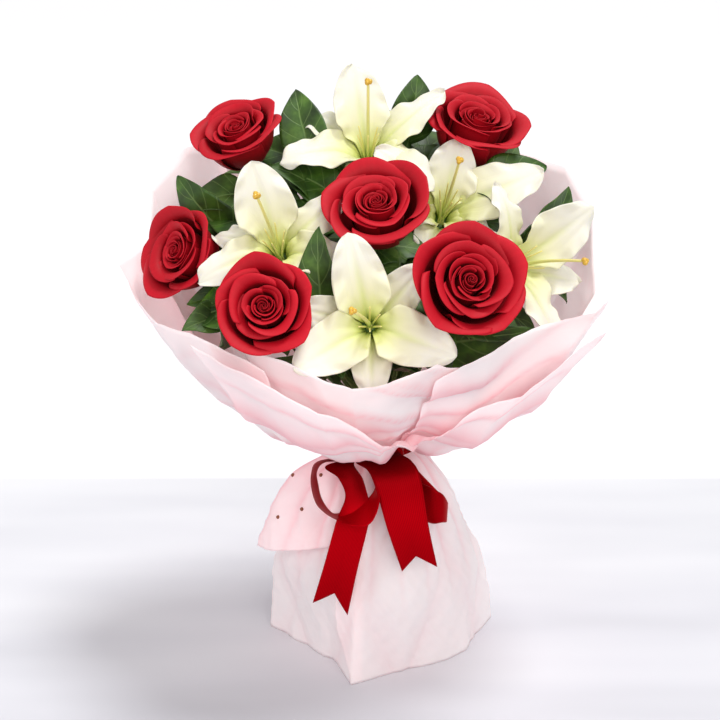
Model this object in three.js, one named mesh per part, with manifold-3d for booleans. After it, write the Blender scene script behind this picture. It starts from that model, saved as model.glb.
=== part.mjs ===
// Mixed flower bouquet: six red roses, five white lilies and broad green leaves, tied at the neck,
// standing in a bag of water and wrapped in pale pink paper with a red satin bow.
// Millimetres, +Z up, the front faces -Y. The origin is the centre of the bottom of the bounding box.

import * as THREE from "three";
import { mergeVertices } from "three/addons/utils/BufferGeometryUtils.js";
import Module from "manifold-3d";

const wasm = await Module();
wasm.setup();

// Driving dimensions, in millimetres, and angles in degrees
const CLEARANCE = 0.3;
const SIMPLER_BY = 0.15;
const PETAL_THICKNESS = 0.9;
const LEAF_THICKNESS = 0.8;
const PAPER_THICKNESS = 0.9;
const PAPER_PITCH = 1.8;
const RIBBON_THICKNESS = 1.0;
const TWINE_THICKNESS = 1.2;
const BAND_THICKNESS = 1.2;

const ROSE_HEIGHT = 46;
const ROSE_WALL_RADIUS = 32;
const ROSE_HEART_RADIUS = 8.5;
const ROSE_PETALS = 9;
const ROSE_LIP = 15;
const ROSE_SIDES = 7;
const PETAL_STEP = 2;

const LILY_TUBE_RADIUS = 5;
const LILY_TUBE_DEPTH = 40;
const LILY_RING_RADIUS = 9.6;
const LILY_FIRST_LEAN = 8;
const PISTIL_LENGTH = 92;
const STIGMA_RADIUS = 3.6;
const FILAMENT_LENGTH = 55;
const FILAMENT_SPREAD = 10;
const SEPAL_LENGTH = 29;

const BOUQUET_X = 17;
const BOUQUET_Y = -8;
const NECK_HEIGHT = 206;
const STEM_RADIUS = 2.7;
const LEAF_STEM_RADIUS = 2.3;
const STEM_FOOT = 12;
const SLOT_PITCH = 7;
const SPIRAL_WAIST = 150;
const STEM_SIDES = 4;
const STEM_BENDS = 3;
const STEM_APPROACH = 60;

const TWINE_RADIUS = 20;
const BAND_RADIUS = 37;
const PAPER_NECK_RADIUS = 21;
const BAG_RADIUS = 66;
const WATER_DEPTH = 95;

const COLOURS = {
  rose: new THREE.MeshStandardMaterial({ color: "#b90a1c", roughness: 0.7 }),
  lily: new THREE.MeshStandardMaterial({ color: "#f4f2e2", roughness: 0.55 }),
  pistil: new THREE.MeshStandardMaterial({ color: "#d9d676", roughness: 0.5 }),
  stem: new THREE.MeshStandardMaterial({ color: "#5d8a3c", roughness: 0.6 }),
  leaf: new THREE.MeshStandardMaterial({ color: "#35573a", roughness: 0.6 }),
  paper: new THREE.MeshStandardMaterial({ color: "#fadfe2", roughness: 0.85 }),
  satin: new THREE.MeshStandardMaterial({ color: "#b3000f", roughness: 0.35 }),
  twine: new THREE.MeshStandardMaterial({ color: "#b79a6a", roughness: 0.9 }),
  water: new THREE.MeshStandardMaterial({ color: "#dfe9ec", roughness: 0.1 }),
};

// A rose is placed by its heart, the way its face points and its size. Elevation is above the
// horizon, azimuth turns to the right from the front, and spin turns the petals round the axis.
const ROSES = [
  { heart: [-112, 52, 484], elevation: 60, azimuth: -35, spin: 20, scale: 0.94 },
  { heart: [106, 62, 486], elevation: 58, azimuth: 42, spin: 75, scale: 1.06 },
  { heart: [10, -42, 444], elevation: 50, azimuth: -12, spin: 200, scale: 1.1 },
  { heart: [-166, -25, 388], elevation: 28, azimuth: -48, spin: 300, scale: 0.94 },
  { heart: [-84, -128, 380], elevation: 32, azimuth: -5, spin: 130, scale: 0.95 },
  { heart: [90, -118, 394], elevation: 34, azimuth: 14, spin: 250, scale: 1.14 },
];

// A lily petal: turn round the axis (0 to the right, 90 up), length, width, how far it opens at
// half length and how far its end rolls back.
const petal = (turn, length, width, open, roll) => ({ turn, length, width, open, roll });

// A lily is placed by its throat, where the petals part.
const LILIES = [
  {
    throat: [5, 34, 464], elevation: 66, azimuth: 0, style: [-4, 10], inner: 0,
    petals: [
      petal(96, 106, 48, 46, 22), petal(146, 92, 36, 62, 40), petal(200, 96, 50, 60, 54),
      petal(262, 80, 36, 66, 80), petal(322, 84, 48, 60, 48), petal(32, 104, 34, 60, 20),
    ],
  },
  {
    throat: [-71, -55, 402], elevation: 46, azimuth: -8, style: [-10, 14], inner: 0,
    petals: [
      petal(112, 94, 64, 44, 8), petal(44, 88, 40, 60, 55), petal(-12, 86, 44, 62, 74),
      petal(-72, 66, 36, 66, 34), petal(212, 98, 46, 62, 74), petal(168, 74, 32, 62, 60),
    ],
  },
  {
    throat: [62, -5, 404], elevation: 48, azimuth: 14, style: [0, 12], inner: 1,
    petals: [
      petal(122, 104, 40, 56, 56), petal(62, 92, 60, 46, 10), petal(12, 104, 50, 64, 14),
      petal(-48, 72, 40, 60, 60), petal(-112, 66, 44, 64, 40), petal(172, 46, 30, 50, 80),
    ],
  },
  {
    throat: [8, -120, 354], elevation: 28, azimuth: 0, style: [-14, 2], inner: 0,
    petals: [
      petal(104, 94, 52, 60, 18), petal(46, 90, 42, 66, 14), petal(-22, 92, 52, 64, 14),
      petal(-88, 74, 38, 68, 38), petal(-147, 90, 54, 62, 16), petal(168, 80, 38, 68, 24),
    ],
  },
  {
    throat: [146, -30, 380], elevation: 26, azimuth: 48, style: [6, 4], inner: 1,
    petals: [
      petal(84, 94, 34, 58, 50), petal(38, 102, 56, 44, 8), petal(-26, 80, 46, 52, 20),
      petal(-102, 108, 44, 60, 22), petal(-146, 60, 34, 64, 50), petal(150, 60, 36, 58, 80),
    ],
  },
];

// A leafy stem ends at top. Each leaf has its tip, its width and where on the stem it starts.
const leaf = (tip, width, at) => ({ tip, width, at });
const LEAF_STEMS = [
  {
    top: [44, 92, 456],
    leaves: [leaf([52, 96, 514], 40, 1), leaf([84, 124, 452], 42, 0.93), leaf([-4, 116, 492], 42, 0.9)],
  },
  {
    top: [-38, 50, 436],
    leaves: [leaf([-58, 90, 502], 42, 1), leaf([-78, 20, 450], 42, 0.94), leaf([-44, 124, 462], 40, 0.9)],
  },
  {
    top: [-98, 14, 378],
    leaves: [
      leaf([-160, 26, 440], 44, 1), leaf([-158, -36, 338], 42, 0.88), leaf([-170, 64, 392], 38, 0.94),
    ],
  },
  {
    top: [-112, -40, 336],
    leaves: [leaf([-158, -82, 330], 30, 1), leaf([-120, -118, 326], 42, 0.95)],
  },
  {
    top: [-26, -72, 316],
    leaves: [
      leaf([-34, -58, 420], 42, 1), leaf([-30, -142, 318], 42, 0.98), leaf([-86, -132, 318], 40, 0.94),
    ],
  },
  {
    top: [44, -48, 342],
    leaves: [leaf([50, -66, 402], 34, 1), leaf([154, -96, 332], 52, 0.9), leaf([66, -138, 312], 42, 0.88)],
  },
  {
    top: [150, 32, 372],
    leaves: [leaf([188, -14, 330], 36, 0.95), leaf([186, 44, 425], 46, 1), leaf([190, 74, 386], 36, 0.94)],
  },
  {
    top: [106, 46, 420],
    leaves: [leaf([167, 56, 440], 44, 1), leaf([144, 108, 446], 40, 0.93), leaf([118, 4, 418], 34, 0.97)],
  },
];

// Paper sheets of the collar. Each rim point is the direction round the neck, the reach and the
// height of a corner of the sheet, and layer counts outwards from the innermost sheet.
const COLLAR_SHEETS = [
  {
    name: "wrap_front_left", layer: 5,
    rim: [[216, 178, 344], [234, 164, 330], [252, 150, 300], [270, 122, 262], [288, 72, 226]],
  },
  {
    name: "wrap_front_right", layer: 6,
    rim: [[288, 66, 226], [297, 108, 262], [315, 146, 300], [333, 168, 328], [342, 184, 336]],
  },
  {
    name: "wrap_right", layer: 3,
    rim: [[288, 138, 316], [306, 150, 338], [324, 160, 350], [342, 184, 348], [360, 197, 338]],
  },
  {
    name: "wrap_left", layer: 3,
    rim: [
      [162, 198, 382], [180, 224, 373], [189, 207, 350], [198, 191, 337], [216, 172, 337], [234, 156, 322],
    ],
  },
  {
    name: "wrap_back_left", layer: 1,
    rim: [[135, 178, 446], [153, 194, 451], [162, 212, 422], [171, 202, 392], [180, 194, 370]],
  },
  {
    name: "wrap_back_right", layer: 1,
    rim: [[-9, 180, 338], [0, 186, 346], [18, 201, 397], [27, 192, 433], [45, 180, 436], [63, 170, 440]],
  },
  {
    name: "wrap_front_inner", layer: 1,
    rim: [
      [225, 160, 338], [234, 156, 334], [252, 150, 321], [261, 149, 314], [279, 147, 325], [288, 147, 331],
      [297, 140, 322],
    ],
  },
  {
    name: "wrap_back", layer: 0,
    rim: [
      [54, 166, 436], [72, 155, 450], [90, 148, 440], [108, 154, 454], [126, 166, 446], [144, 176, 436],
    ],
  },
];
const COLLAR_STEP = 9;
const COLLAR_ROWS = 4;
const SHELF_SHARE = 0.68;
const COLLAR_FOLDS = 10;
const COLLAR_FOLD_DEPTH = 3.5;
const KNOT_DIRECTION = 288;

// The skirt stands on a folded outline: direction round the base's centre and distance to it.
const SKIRT_CORNERS = [
  [180, 105], [234, 71], [256, 104], [297, 79], [333, 92], [369, 112], [414, 110], [468, 100], [504, 92],
];
// Height on the skirt and how far it has spread from the neck to its base outline there
const SKIRT_PROFILE = [[212, 0], [196, 0.03], [186, 0.28], [145, 0.6], [75, 0.95], [0.2, 1]];
const SKIRT_RIGHT = [243, 256, 261, 279, 297, 315, 333, 351, 369, 391, 414, 432];
const SKIRT_LEFT = [54, 72, 90, 108, 126, 144, 162, 180, 198, 216, 234, 243, 256, 261];
// The flap over it: its first and last direction, how low it hangs at each and how far it stands
// off at the first
const FLAP = { first: 189, last: 243, firstLow: 98, lastLow: 126, stand: 25 };

const vec = (x, y, z) => new THREE.Vector3(x, y, z);
const radians = THREE.MathUtils.degToRad;
const mix = THREE.MathUtils.lerp;
const smooth = THREE.MathUtils.smoothstep;
const UP = vec(0, 0, 1);
// Leaves face away from this point, and somewhat to the front
const LEAVES_FACE_FROM = vec(BOUQUET_X, BOUQUET_Y, 330);
const LEAF_TURNED_TO = vec(0, -0.8, 0.2);

// The same turn, between -180 and 180 degrees
const nearTurn = (turn) => THREE.MathUtils.euclideanModulo(turn + 180, 360) - 180;

// Closed three.js geometry as a solid, with the vertices that its faces share merged
function solidOf(geometry) {
  geometry.deleteAttribute("normal");
  geometry.deleteAttribute("uv");
  const merged = mergeVertices(geometry, 1e-3);
  const vertProperties = new Float32Array(merged.attributes.position.array);
  const triVerts = new Uint32Array(merged.index.array);
  return new wasm.Manifold(new wasm.Mesh({ numProp: 3, vertProperties, triVerts }));
}

// The one body of a solid that is kept when a cut leaves loose scraps
function largestBody(solid) {
  const bodies = solid.decompose();
  return bodies.reduce((best, body) => (body.volume() > best.volume() ? body : best));
}

// A thin closed solid over a grid of points: pointAt(s, t), s from -1 to 1 across it and t from
// 0 to 1 along it. Both faces are split into triangles alike. Grow thickens it and moves its
// border out, which makes the space that its neighbours keep clear of.
function blade(pointAt, across, along, thickness, grow = 0) {
  const rows = [];
  for (let j = 0; j <= along; j += 1) {
    const row = [];
    for (let i = 0; i <= across; i += 1) row.push(pointAt(-1 + (2 * i) / across, j / along));
    rows.push(row);
  }
  if (grow > 0) moveBorderOut(rows, grow);
  const half = thickness / 2 + grow;
  const size = (across + 1) * (along + 1);
  const points = new Float32Array(size * 6);
  rows.forEach((row, j) => row.forEach((point, i) => {
    const crossing = rows[j][Math.min(i + 1, across)].clone().sub(rows[j][Math.max(i - 1, 0)]);
    const running = rows[Math.min(j + 1, along)][i].clone().sub(rows[Math.max(j - 1, 0)][i]);
    const normal = crossing.cross(running).normalize();
    const at = j * (across + 1) + i;
    point.clone().addScaledVector(normal, half).toArray(points, 3 * at);
    point.clone().addScaledVector(normal, -half).toArray(points, 3 * (at + size));
  }));
  const triangles = [];
  const quad = (a, b, c, d) => triangles.push(a, b, c, a, c, d);
  for (let j = 0; j < along; j += 1) {
    for (let i = 0; i < across; i += 1) {
      const a = j * (across + 1) + i;
      const d = a + across + 1;
      quad(a, a + 1, d + 1, d);
      triangles.push(a + size, d + 1 + size, a + 1 + size, a + size, d + size, d + 1 + size);
    }
  }
  for (let i = 0; i < across; i += 1) {
    const far = along * (across + 1) + i;
    quad(i + size, i + 1 + size, i + 1, i);
    quad(far + 1 + size, far + size, far, far + 1);
  }
  for (let j = 0; j < along; j += 1) {
    const left = j * (across + 1);
    const right = left + across;
    quad(left + across + 1 + size, left + size, left, left + across + 1);
    quad(right + size, right + across + 1 + size, right + across + 1, right);
  }
  const geometry = new THREE.BufferGeometry();
  geometry.setAttribute("position", new THREE.BufferAttribute(points, 3));
  geometry.setIndex(triangles);
  return solidOf(geometry);
}

function moveBorderOut(rows, distance) {
  const push = (edge, inner) => edge.addScaledVector(edge.clone().sub(inner).normalize(), distance);
  for (const row of rows) {
    push(row[0], row[1]);
    push(row[row.length - 1], row[row.length - 2]);
  }
  const last = rows.length - 1;
  rows[0].forEach((point, i) => push(point, rows[1][i]));
  rows[last].forEach((point, i) => push(point, rows[last - 1][i]));
}

// A closed solid skinned over rings of points that all turn the same way
function skin(rings) {
  const sides = rings[0].length;
  const end = (rings.length - 1) * sides;
  const triangles = [];
  for (let k = 0; k < sides; k += 1) {
    const next = (k + 1) % sides;
    if (k > 0 && next > 0) triangles.push(0, next, k, end, end + k, end + next);
    for (let j = 0; j < end; j += sides) {
      triangles.push(j + k, j + next, j + next + sides, j + k, j + next + sides, j + k + sides);
    }
  }
  const points = new Float32Array(rings.flat().flatMap((point) => point.toArray()));
  const geometry = new THREE.BufferGeometry();
  geometry.setAttribute("position", new THREE.BufferAttribute(points, 3));
  geometry.setIndex(triangles);
  return solidOf(geometry);
}

// A bar with a ring of corners at each of its points
function tube(route, radius, sides, grow) {
  const last = route.length - 1;
  const points = route.map((point) => point.clone());
  points[0].lerp(points[1], -grow / points[0].distanceTo(points[1]));
  points[last].lerp(points[last - 1], -grow / points[last].distanceTo(points[last - 1]));
  const across = vec(1, 0, 0);
  return skin(points.map((point, i) => {
    const along = points[Math.min(i + 1, last)].clone().sub(points[Math.max(i - 1, 0)]).normalize();
    across.addScaledVector(along, -across.dot(along)).normalize();
    const other = along.clone().cross(across);
    return Array.from({ length: sides }, (_, k) => {
      const angle = (2 * Math.PI * k) / sides;
      return point.clone()
        .addScaledVector(across, (radius + grow) * Math.cos(angle))
        .addScaledVector(other, (radius + grow) * Math.sin(angle));
    });
  }));
}

// A turned solid: the profile's points are radius and height, from the axis back to the axis
function turned(profile, sides, frame) {
  const points = profile.map(([radius, height]) => new THREE.Vector2(radius, height));
  const geometry = new THREE.LatheGeometry(points, sides);
  geometry.rotateX(Math.PI / 2);
  if (frame) geometry.applyMatrix4(frame.matrix);
  return solidOf(geometry);
}

// The frame of a bloom: out is the way that it faces, right and up span its face
function bloomFrame(origin, elevation, azimuth) {
  const level = Math.cos(radians(elevation));
  const aside = radians(azimuth);
  const out = vec(Math.sin(aside) * level, -Math.cos(aside) * level, Math.sin(radians(elevation)));
  const right = UP.clone().cross(out).normalize();
  const up = out.clone().cross(right);
  const matrix = new THREE.Matrix4().makeBasis(right, up, out).setPosition(origin);
  return { origin, right, up, out, matrix };
}

// A point of a bloom from its distance to the axis, its turn round it and its height along it
function bloomPoint(frame, radius, turn, height) {
  return frame.origin.clone()
    .addScaledVector(frame.right, radius * Math.cos(turn))
    .addScaledVector(frame.up, radius * Math.sin(turn))
    .addScaledVector(frame.out, height);
}

function roseFrame(rose) {
  const heart = vec(...rose.heart);
  const facing = bloomFrame(heart, rose.elevation, rose.azimuth);
  const base = heart.clone().addScaledVector(facing.out, -ROSE_HEIGHT * rose.scale);
  return bloomFrame(base, rose.elevation, rose.azimuth);
}

// One rose petal wraps round the axis. Its profile leaves the core, stands as a wall and rolls
// outwards at its lip, more so from the heart (depth 0) to the outermost petal (depth 1). All
// petals share the core's sides, so their walls lie parallel, one round the other.
function rosePetal(frame, rose, index, grow) {
  const depth = (index / (ROSE_PETALS - 1)) ** 0.8;
  const size = rose.scale;
  const wall = mix(ROSE_HEART_RADIUS, ROSE_WALL_RADIUS, depth) * size;
  const height = ROSE_HEIGHT * size * mix(1, 0.86, depth);
  const lip = (1 + ROSE_LIP * depth ** 1.5) * size;
  const root = mix(16, -3, depth);
  const profile = new THREE.SplineCurve([
    new THREE.Vector2(mix(2, 4, depth), root),
    new THREE.Vector2(mix(0.9, 0.72, depth) * wall, root + mix(5, 7, depth)),
    new THREE.Vector2(wall, mix(0.62, 0.5, depth) * height),
    new THREE.Vector2(wall * mix(0.86, 1.05, depth), 0.88 * height),
    new THREE.Vector2(wall * mix(0.62, 1.05, depth) + lip, height - 6 * size * depth ** 2),
  ]);
  const sides = depth < 0.35 ? 3 : 2;
  const turn = radians(rose.spin);
  const side = (2 * Math.PI) / ROSE_SIDES;
  const pointAt = (s, t) => {
    const at = profile.getPoint(t * (1 - 0.2 * Math.abs(s) ** 2.5));
    const curl = 2 * depth * size * Math.abs(s) ** 3 * t;
    const column = PETAL_STEP * index + 0.5 * s * sides * mix(0.25, 1, smooth(t, 0, 0.3));
    return bloomPoint(frame, at.x + curl + 0.5 * s * t, turn + column * side, at.y);
  };
  return blade(pointAt, sides, depth < 0.35 ? 2 : 3, PETAL_THICKNESS, grow);
}

function roseBloom(rose) {
  const frame = roseFrame(rose);
  const spin = new THREE.Matrix4().makeRotationZ(radians(rose.spin));
  const turnedFrame = { matrix: frame.matrix.clone().multiply(spin) };
  return (grow) => {
    const size = rose.scale;
    const core = [
      [0, -6 - grow], [8 + grow, -5 - grow], [6.5 + grow, 14],
      [3 + grow, 24], [2.5 + grow, 36 * size], [0, 38 * size + grow],
    ];
    const solids = [turned(core, ROSE_SIDES, turnedFrame)];
    for (let index = 0; index < ROSE_PETALS; index += 1) solids.push(rosePetal(frame, rose, index, grow));
    return wasm.Manifold.union(solids);
  };
}

// The midline of a lily petal: it leaves the tube nearly along the axis, opens by half length and
// rolls back at its end. Returns radius, height and the angle that the midline has to the axis.
function lilyMidline({ length, open, roll }, t) {
  const slices = 12;
  const lean = (at) => radians(LILY_FIRST_LEAN + open * smooth(at, 0, 0.55) + roll * at ** 3);
  let radius = LILY_TUBE_RADIUS;
  let height = 0.4;
  for (let k = 0; k < slices; k += 1) {
    const angle = lean((t * (k + 0.5)) / slices);
    radius += (length * t * Math.sin(angle)) / slices;
    height += (length * t * Math.cos(angle)) / slices;
  }
  return { radius, height, lean: lean(t) };
}

// One lily petal bends round the axis of the bloom. It leaves the tube at its own sixth of the
// circle and bends over to its turn; the three outer petals lie just behind the three inner ones.
function lilyPetal(frame, spec, root, inner, grow) {
  const pointAt = (s, along) => {
    const t = 1 - (1 - along) ** 1.25;
    const { radius, height, lean } = lilyMidline(spec, t);
    const turn = radians(mix(root, spec.turn, smooth(t, 0.05, 0.5)));
    const shape = mix(0.2, 1, smooth(t, 0, 0.45)) * (1 - t ** 3.5) ** 0.6;
    const halfWidth = Math.max(0.5 * spec.width * shape, 1.1);
    const bow = (inner ? mix(0.2, -0.12, t) : -0.05) * s * s * halfWidth;
    const cup = inner ? bow : bow - mix(2.4, 4.2, smooth(t, 0, 0.5));
    const reach = radius - cup * Math.cos(lean);
    const aside = s * Math.min(halfWidth / reach, radians(mix(30, 55, smooth(t, 0, 0.2))));
    return bloomPoint(frame, reach, turn + aside, height + cup * Math.sin(lean));
  };
  return blade(pointAt, 2, 4, PETAL_THICKNESS, grow);
}

function lilyFrame(lily) {
  const throat = vec(...lily.throat);
  const facing = bloomFrame(throat, lily.elevation, lily.azimuth);
  const base = throat.clone().addScaledVector(facing.out, -LILY_TUBE_DEPTH);
  return bloomFrame(base, lily.elevation, lily.azimuth);
}

// Six petals on a ring. Their roots are a sixth of a turn apart, beginning with the first one's
// own turn, and every second petal, from lily.inner on, belongs to the inner three.
function lilyBloom(lily) {
  const frame = lilyFrame(lily);
  const first = lily.petals[0].turn;
  const direction = Math.sign(nearTurn(lily.petals[1].turn - first));
  return (grow) => {
    const [inside, outside] = [4.3 - grow, LILY_RING_RADIUS + grow];
    const [low, high] = [-0.6 - grow, 4 + grow];
    const ring = [[inside, low], [outside, low], [outside, high], [inside, high], [inside, low]];
    const solids = [turned(ring, 6, frame)];
    lily.petals.forEach((spec, k) => {
      const root = first + direction * 60 * k;
      const nearest = { ...spec, turn: root + nearTurn(spec.turn - root) };
      solids.push(lilyPetal(frame, nearest, root, k % 2 === lily.inner, grow));
    });
    return wasm.Manifold.union(solids);
  };
}

// Ovary, style with its stigma, and the six filaments that stand round the style
function lilyPistil(lily) {
  const frame = lilyFrame(lily);
  const [aside, raised] = lily.style;
  const at = (x, y, z) => vec(x, y, z).applyMatrix4(frame.matrix);
  return (grow) => {
    const tip = at(aside, raised, PISTIL_LENGTH);
    const ovary = [[0, -0.6 - grow], [3.2 + grow, -0.6 - grow], [2.4 + grow, 16 + grow], [0, 16 + grow]];
    const solids = [
      turned(ovary, 6, frame),
      tube([at(0, 0, 12), at(0.15 * aside, 0.15 * raised, 0.5 * PISTIL_LENGTH), tip], 1.6, 4, grow),
    ];
    const stigma = new THREE.OctahedronGeometry(STIGMA_RADIUS + grow, 0);
    stigma.translate(tip.x, tip.y, tip.z);
    solids.push(solidOf(stigma));
    for (let k = 0; k < 6; k += 1) {
      const turn = radians(60 * k + 30);
      const foot = at(1.6 * Math.cos(turn), 1.6 * Math.sin(turn), 8);
      const end = at(FILAMENT_SPREAD * Math.cos(turn), FILAMENT_SPREAD * Math.sin(turn), FILAMENT_LENGTH);
      solids.push(tube([foot, end], 0.9, 3, grow));
    }
    return wasm.Manifold.union(solids);
  };
}

// Places in the tied bundle, ring by ring round its centre: below the tie all stems run straight
// and slanted the same way, so that they pass it without crossing.
function bundlePoint({ ring, turn }, z) {
  const slant = (z - NECK_HEIGHT) / SPIRAL_WAIST;
  const [cosine, sine] = [Math.cos(radians(turn)), Math.sin(radians(turn))];
  const radius = ring * SLOT_PITCH;
  return vec(BOUQUET_X + radius * (cosine - slant * sine), BOUQUET_Y + radius * (sine + slant * cosine), z);
}

// Gives each stem the place in the bundle that lies on its own side: the one nearest to the
// middle goes to the centre, the next six to the inner ring and the rest to the outer ring.
function assignPlaces(tops) {
  const aims = tops.map((top, index) => {
    const x = top.x - BOUQUET_X;
    const y = top.y - BOUQUET_Y;
    return { index, reach: Math.hypot(x, y), turn: THREE.MathUtils.radToDeg(Math.atan2(y, x)) };
  });
  aims.sort((a, b) => a.reach - b.reach);
  const places = [];
  places[aims[0].index] = { ring: 0, turn: 0 };
  [[1, aims.slice(1, 7)], [2, aims.slice(7)]].forEach(([ring, group]) => {
    group.sort((a, b) => a.turn - b.turn);
    const step = 360 / (6 * ring);
    const start = group.reduce((sum, aim, k) => sum + aim.turn - k * step, 0) / group.length;
    group.forEach((aim, k) => { places[aim.index] = { ring, turn: start + k * step }; });
  });
  return places;
}

// From its foot in the water straight through the tie, and bending from there to its top
function stemRoute(place, top, leaving) {
  const bend = new THREE.CubicBezierCurve3(
    bundlePoint(place, NECK_HEIGHT + 8),
    bundlePoint(place, NECK_HEIGHT + 55),
    top.clone().addScaledVector(leaving, -STEM_APPROACH),
    top,
  );
  return [bundlePoint(place, STEM_FOOT), ...bend.getPoints(STEM_BENDS)];
}

function roseStem(rose, place) {
  const frame = roseFrame(rose);
  const top = frame.origin.clone().addScaledVector(frame.out, -12);
  const route = stemRoute(place, top, frame.out);
  return (grow) => wasm.Manifold.union([
    tube(route, STEM_RADIUS, STEM_SIDES, grow),
    roseHip(frame, rose, grow),
  ]);
}

// The hip with its five sepals, which lie below the outer petals like the points of a star
function roseHip(frame, rose, grow) {
  const ring = (radius, tip, height, drop) => Array.from({ length: 10 }, (_, k) => {
    const turn = radians(rose.spin + 36 * k);
    const point = k % 2 === 0 ? [tip, height - drop] : [radius, height];
    return bloomPoint(frame, point[0] + grow, turn, point[1]);
  });
  const tip = SEPAL_LENGTH * rose.scale;
  return skin([
    ring(3, 3, -17, 0), ring(6.5, 6.5, -12.5 - grow, 0),
    ring(7, tip, -10 - grow, 2), ring(7, tip, -9 + grow, 2), ring(6.5, 6.5, -6.4 + grow, 0),
  ]);
}

function lilyStem(lily, place) {
  const frame = lilyFrame(lily);
  const top = frame.origin.clone().addScaledVector(frame.out, -8);
  const route = stemRoute(place, top, frame.out);
  return (grow) => {
    const seat = [[0, -14], [3 + grow, -13], [7 + grow, -3], [7 + grow, -0.9 + grow], [0, -0.9 + grow]];
    return wasm.Manifold.union([tube(route, STEM_RADIUS, STEM_SIDES, grow), turned(seat, 6, frame)]);
  };
}

// A broad pointed leaf from base to tip, arched and slightly folded along its midrib, with its
// upper face turned away from the middle of the bouquet and somewhat to the front
function leafBlade(base, tip, width, grow) {
  const along = tip.clone().sub(base);
  const length = along.length();
  const outward = base.clone().add(tip).multiplyScalar(0.5).sub(LEAVES_FACE_FROM);
  outward.normalize().add(LEAF_TURNED_TO);
  const side = along.clone().cross(outward).normalize();
  const face = side.clone().cross(along).normalize();
  const pointAt = (s, t) => {
    const halfWidth = Math.max(0.5 * width * Math.sin(Math.PI * t ** 0.85) ** 0.8, t < 0.5 ? 1.6 : 0.9);
    return base.clone()
      .addScaledVector(along, t)
      .addScaledVector(face, 0.14 * length * 4 * t * (1 - t) + 0.22 * Math.abs(s) * halfWidth)
      .addScaledVector(side, s * halfWidth);
  };
  return blade(pointAt, 2, 3, LEAF_THICKNESS, grow);
}

function leafStem(spec, place) {
  const top = vec(...spec.top);
  const away = top.clone().sub(vec(BOUQUET_X, BOUQUET_Y, 300)).normalize();
  const route = stemRoute(place, top, away);
  const stretch = new THREE.CurvePath();
  route.slice(1).forEach((point, k) => stretch.add(new THREE.LineCurve3(route[k], point)));
  return (grow) => {
    const solids = [tube(route, LEAF_STEM_RADIUS, STEM_SIDES, grow)];
    for (const { tip, width, at } of spec.leaves) {
      const base = stretch.getPoint(at - 0.012);
      solids.push(leafBlade(base, vec(...tip), width, grow));
    }
    return wasm.Manifold.union(solids);
  };
}

// One meridian of the paper collar, from the tie outwards along a flat shelf and up to the rim.
// The shelf is pulled in where the folds run to the knot.
function collarPoint([direction, reach, height], layer, t) {
  const neck = PAPER_NECK_RADIUS + 3.2 + PAPER_PITCH * layer;
  const rim = reach + PAPER_PITCH * layer;
  const pinch = Math.exp(-(((direction - KNOT_DIRECTION) / 14) ** 2));
  const shelf = mix(SHELF_SHARE, 0.5, pinch) * reach + PAPER_PITCH * layer;
  const shelfHeight = NECK_HEIGHT + mix(-2, 14, pinch) - 0.8 * layer;
  const lower = NECK_HEIGHT + 17 - PAPER_PITCH * layer;
  if (t === 0) return { radius: neck, z: NECK_HEIGHT - 6 };
  const u = (t - 1 / COLLAR_ROWS) / (1 - 1 / COLLAR_ROWS);
  const [a, b, c] = [(1 - u) ** 2, 2 * u * (1 - u), u * u];
  const ripple = COLLAR_FOLD_DEPTH * Math.sin(radians(COLLAR_FOLDS * direction)) * 4 * u * (1 - u);
  return { radius: a * neck + b * shelf + c * rim, z: a * lower + b * shelfHeight + c * height + ripple };
}

// Where the straight line between two rim corners passes a direction
function rimBetween([turnA, reachA, heightA], [turnB, reachB, heightB], turn) {
  const [a, b] = [radians(turn - turnA), radians(turnB - turn)];
  const reach = (reachA * reachB * Math.sin(a + b)) / (reachA * Math.sin(a) + reachB * Math.sin(b));
  return [turn, reach, mix(heightA, heightB, (turn - turnA) / (turnB - turnA))];
}

// One sheet of the collar. All sheets share the same directions, so that they lie parallel.
function collarSheet({ rim, layer }) {
  const columns = [];
  for (let turn = rim[0][0]; turn <= rim[rim.length - 1][0]; turn += COLLAR_STEP) {
    const k = Math.max(1, rim.findIndex((corner) => turn <= corner[0]));
    columns.push(rimBetween(rim[k - 1], rim[k], turn));
  }
  const pointAt = (s, t) => {
    const corner = columns[Math.round(((s + 1) / 2) * (columns.length - 1))];
    const { radius, z } = collarPoint(corner, layer, t);
    const turn = radians(corner[0]);
    return vec(BOUQUET_X + radius * Math.cos(turn), BOUQUET_Y + radius * Math.sin(turn), z);
  };
  return (grow) => blade(pointAt, columns.length - 1, COLLAR_ROWS, PAPER_THICKNESS, grow);
}

// Distance from the base's centre to the skirt's folded outline, straight between its corners
function skirtReach(direction) {
  const [firstTurn, firstReach] = SKIRT_CORNERS[0];
  const turn = direction < firstTurn ? direction + 360 : direction;
  const closed = [...SKIRT_CORNERS, [firstTurn + 360, firstReach]].map((corner) => [...corner, 0]);
  const k = Math.max(1, closed.findIndex((corner) => turn <= corner[0]));
  return rimBetween(closed[k - 1], closed[k], turn)[1];
}

// How far the skirt has spread at a height, straight between the levels of its profile
function skirtSpread(height) {
  const k = Math.max(1, SKIRT_PROFILE.findIndex((level) => height >= level[0]));
  const [[above, from], [below, to]] = [SKIRT_PROFILE[k - 1], SKIRT_PROFILE[k]];
  return mix(from, to, (above - height) / (above - below));
}

function skirtPoint(direction, height, layer, stand = 0) {
  const spread = skirtSpread(height);
  const neck = PAPER_NECK_RADIUS + PAPER_PITCH * layer;
  const reach = mix(skirtReach(direction), 98, smooth(height, -60, 200)) + PAPER_PITCH * layer;
  const radius = mix(neck, reach, spread) + stand;
  const turn = radians(direction);
  const y = mix(BOUQUET_Y, 0, spread);
  const lift = PAPER_PITCH * layer * smooth(height, 100, 190);
  return vec(BOUQUET_X + radius * Math.cos(turn), y + radius * Math.sin(turn), height + lift);
}

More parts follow.
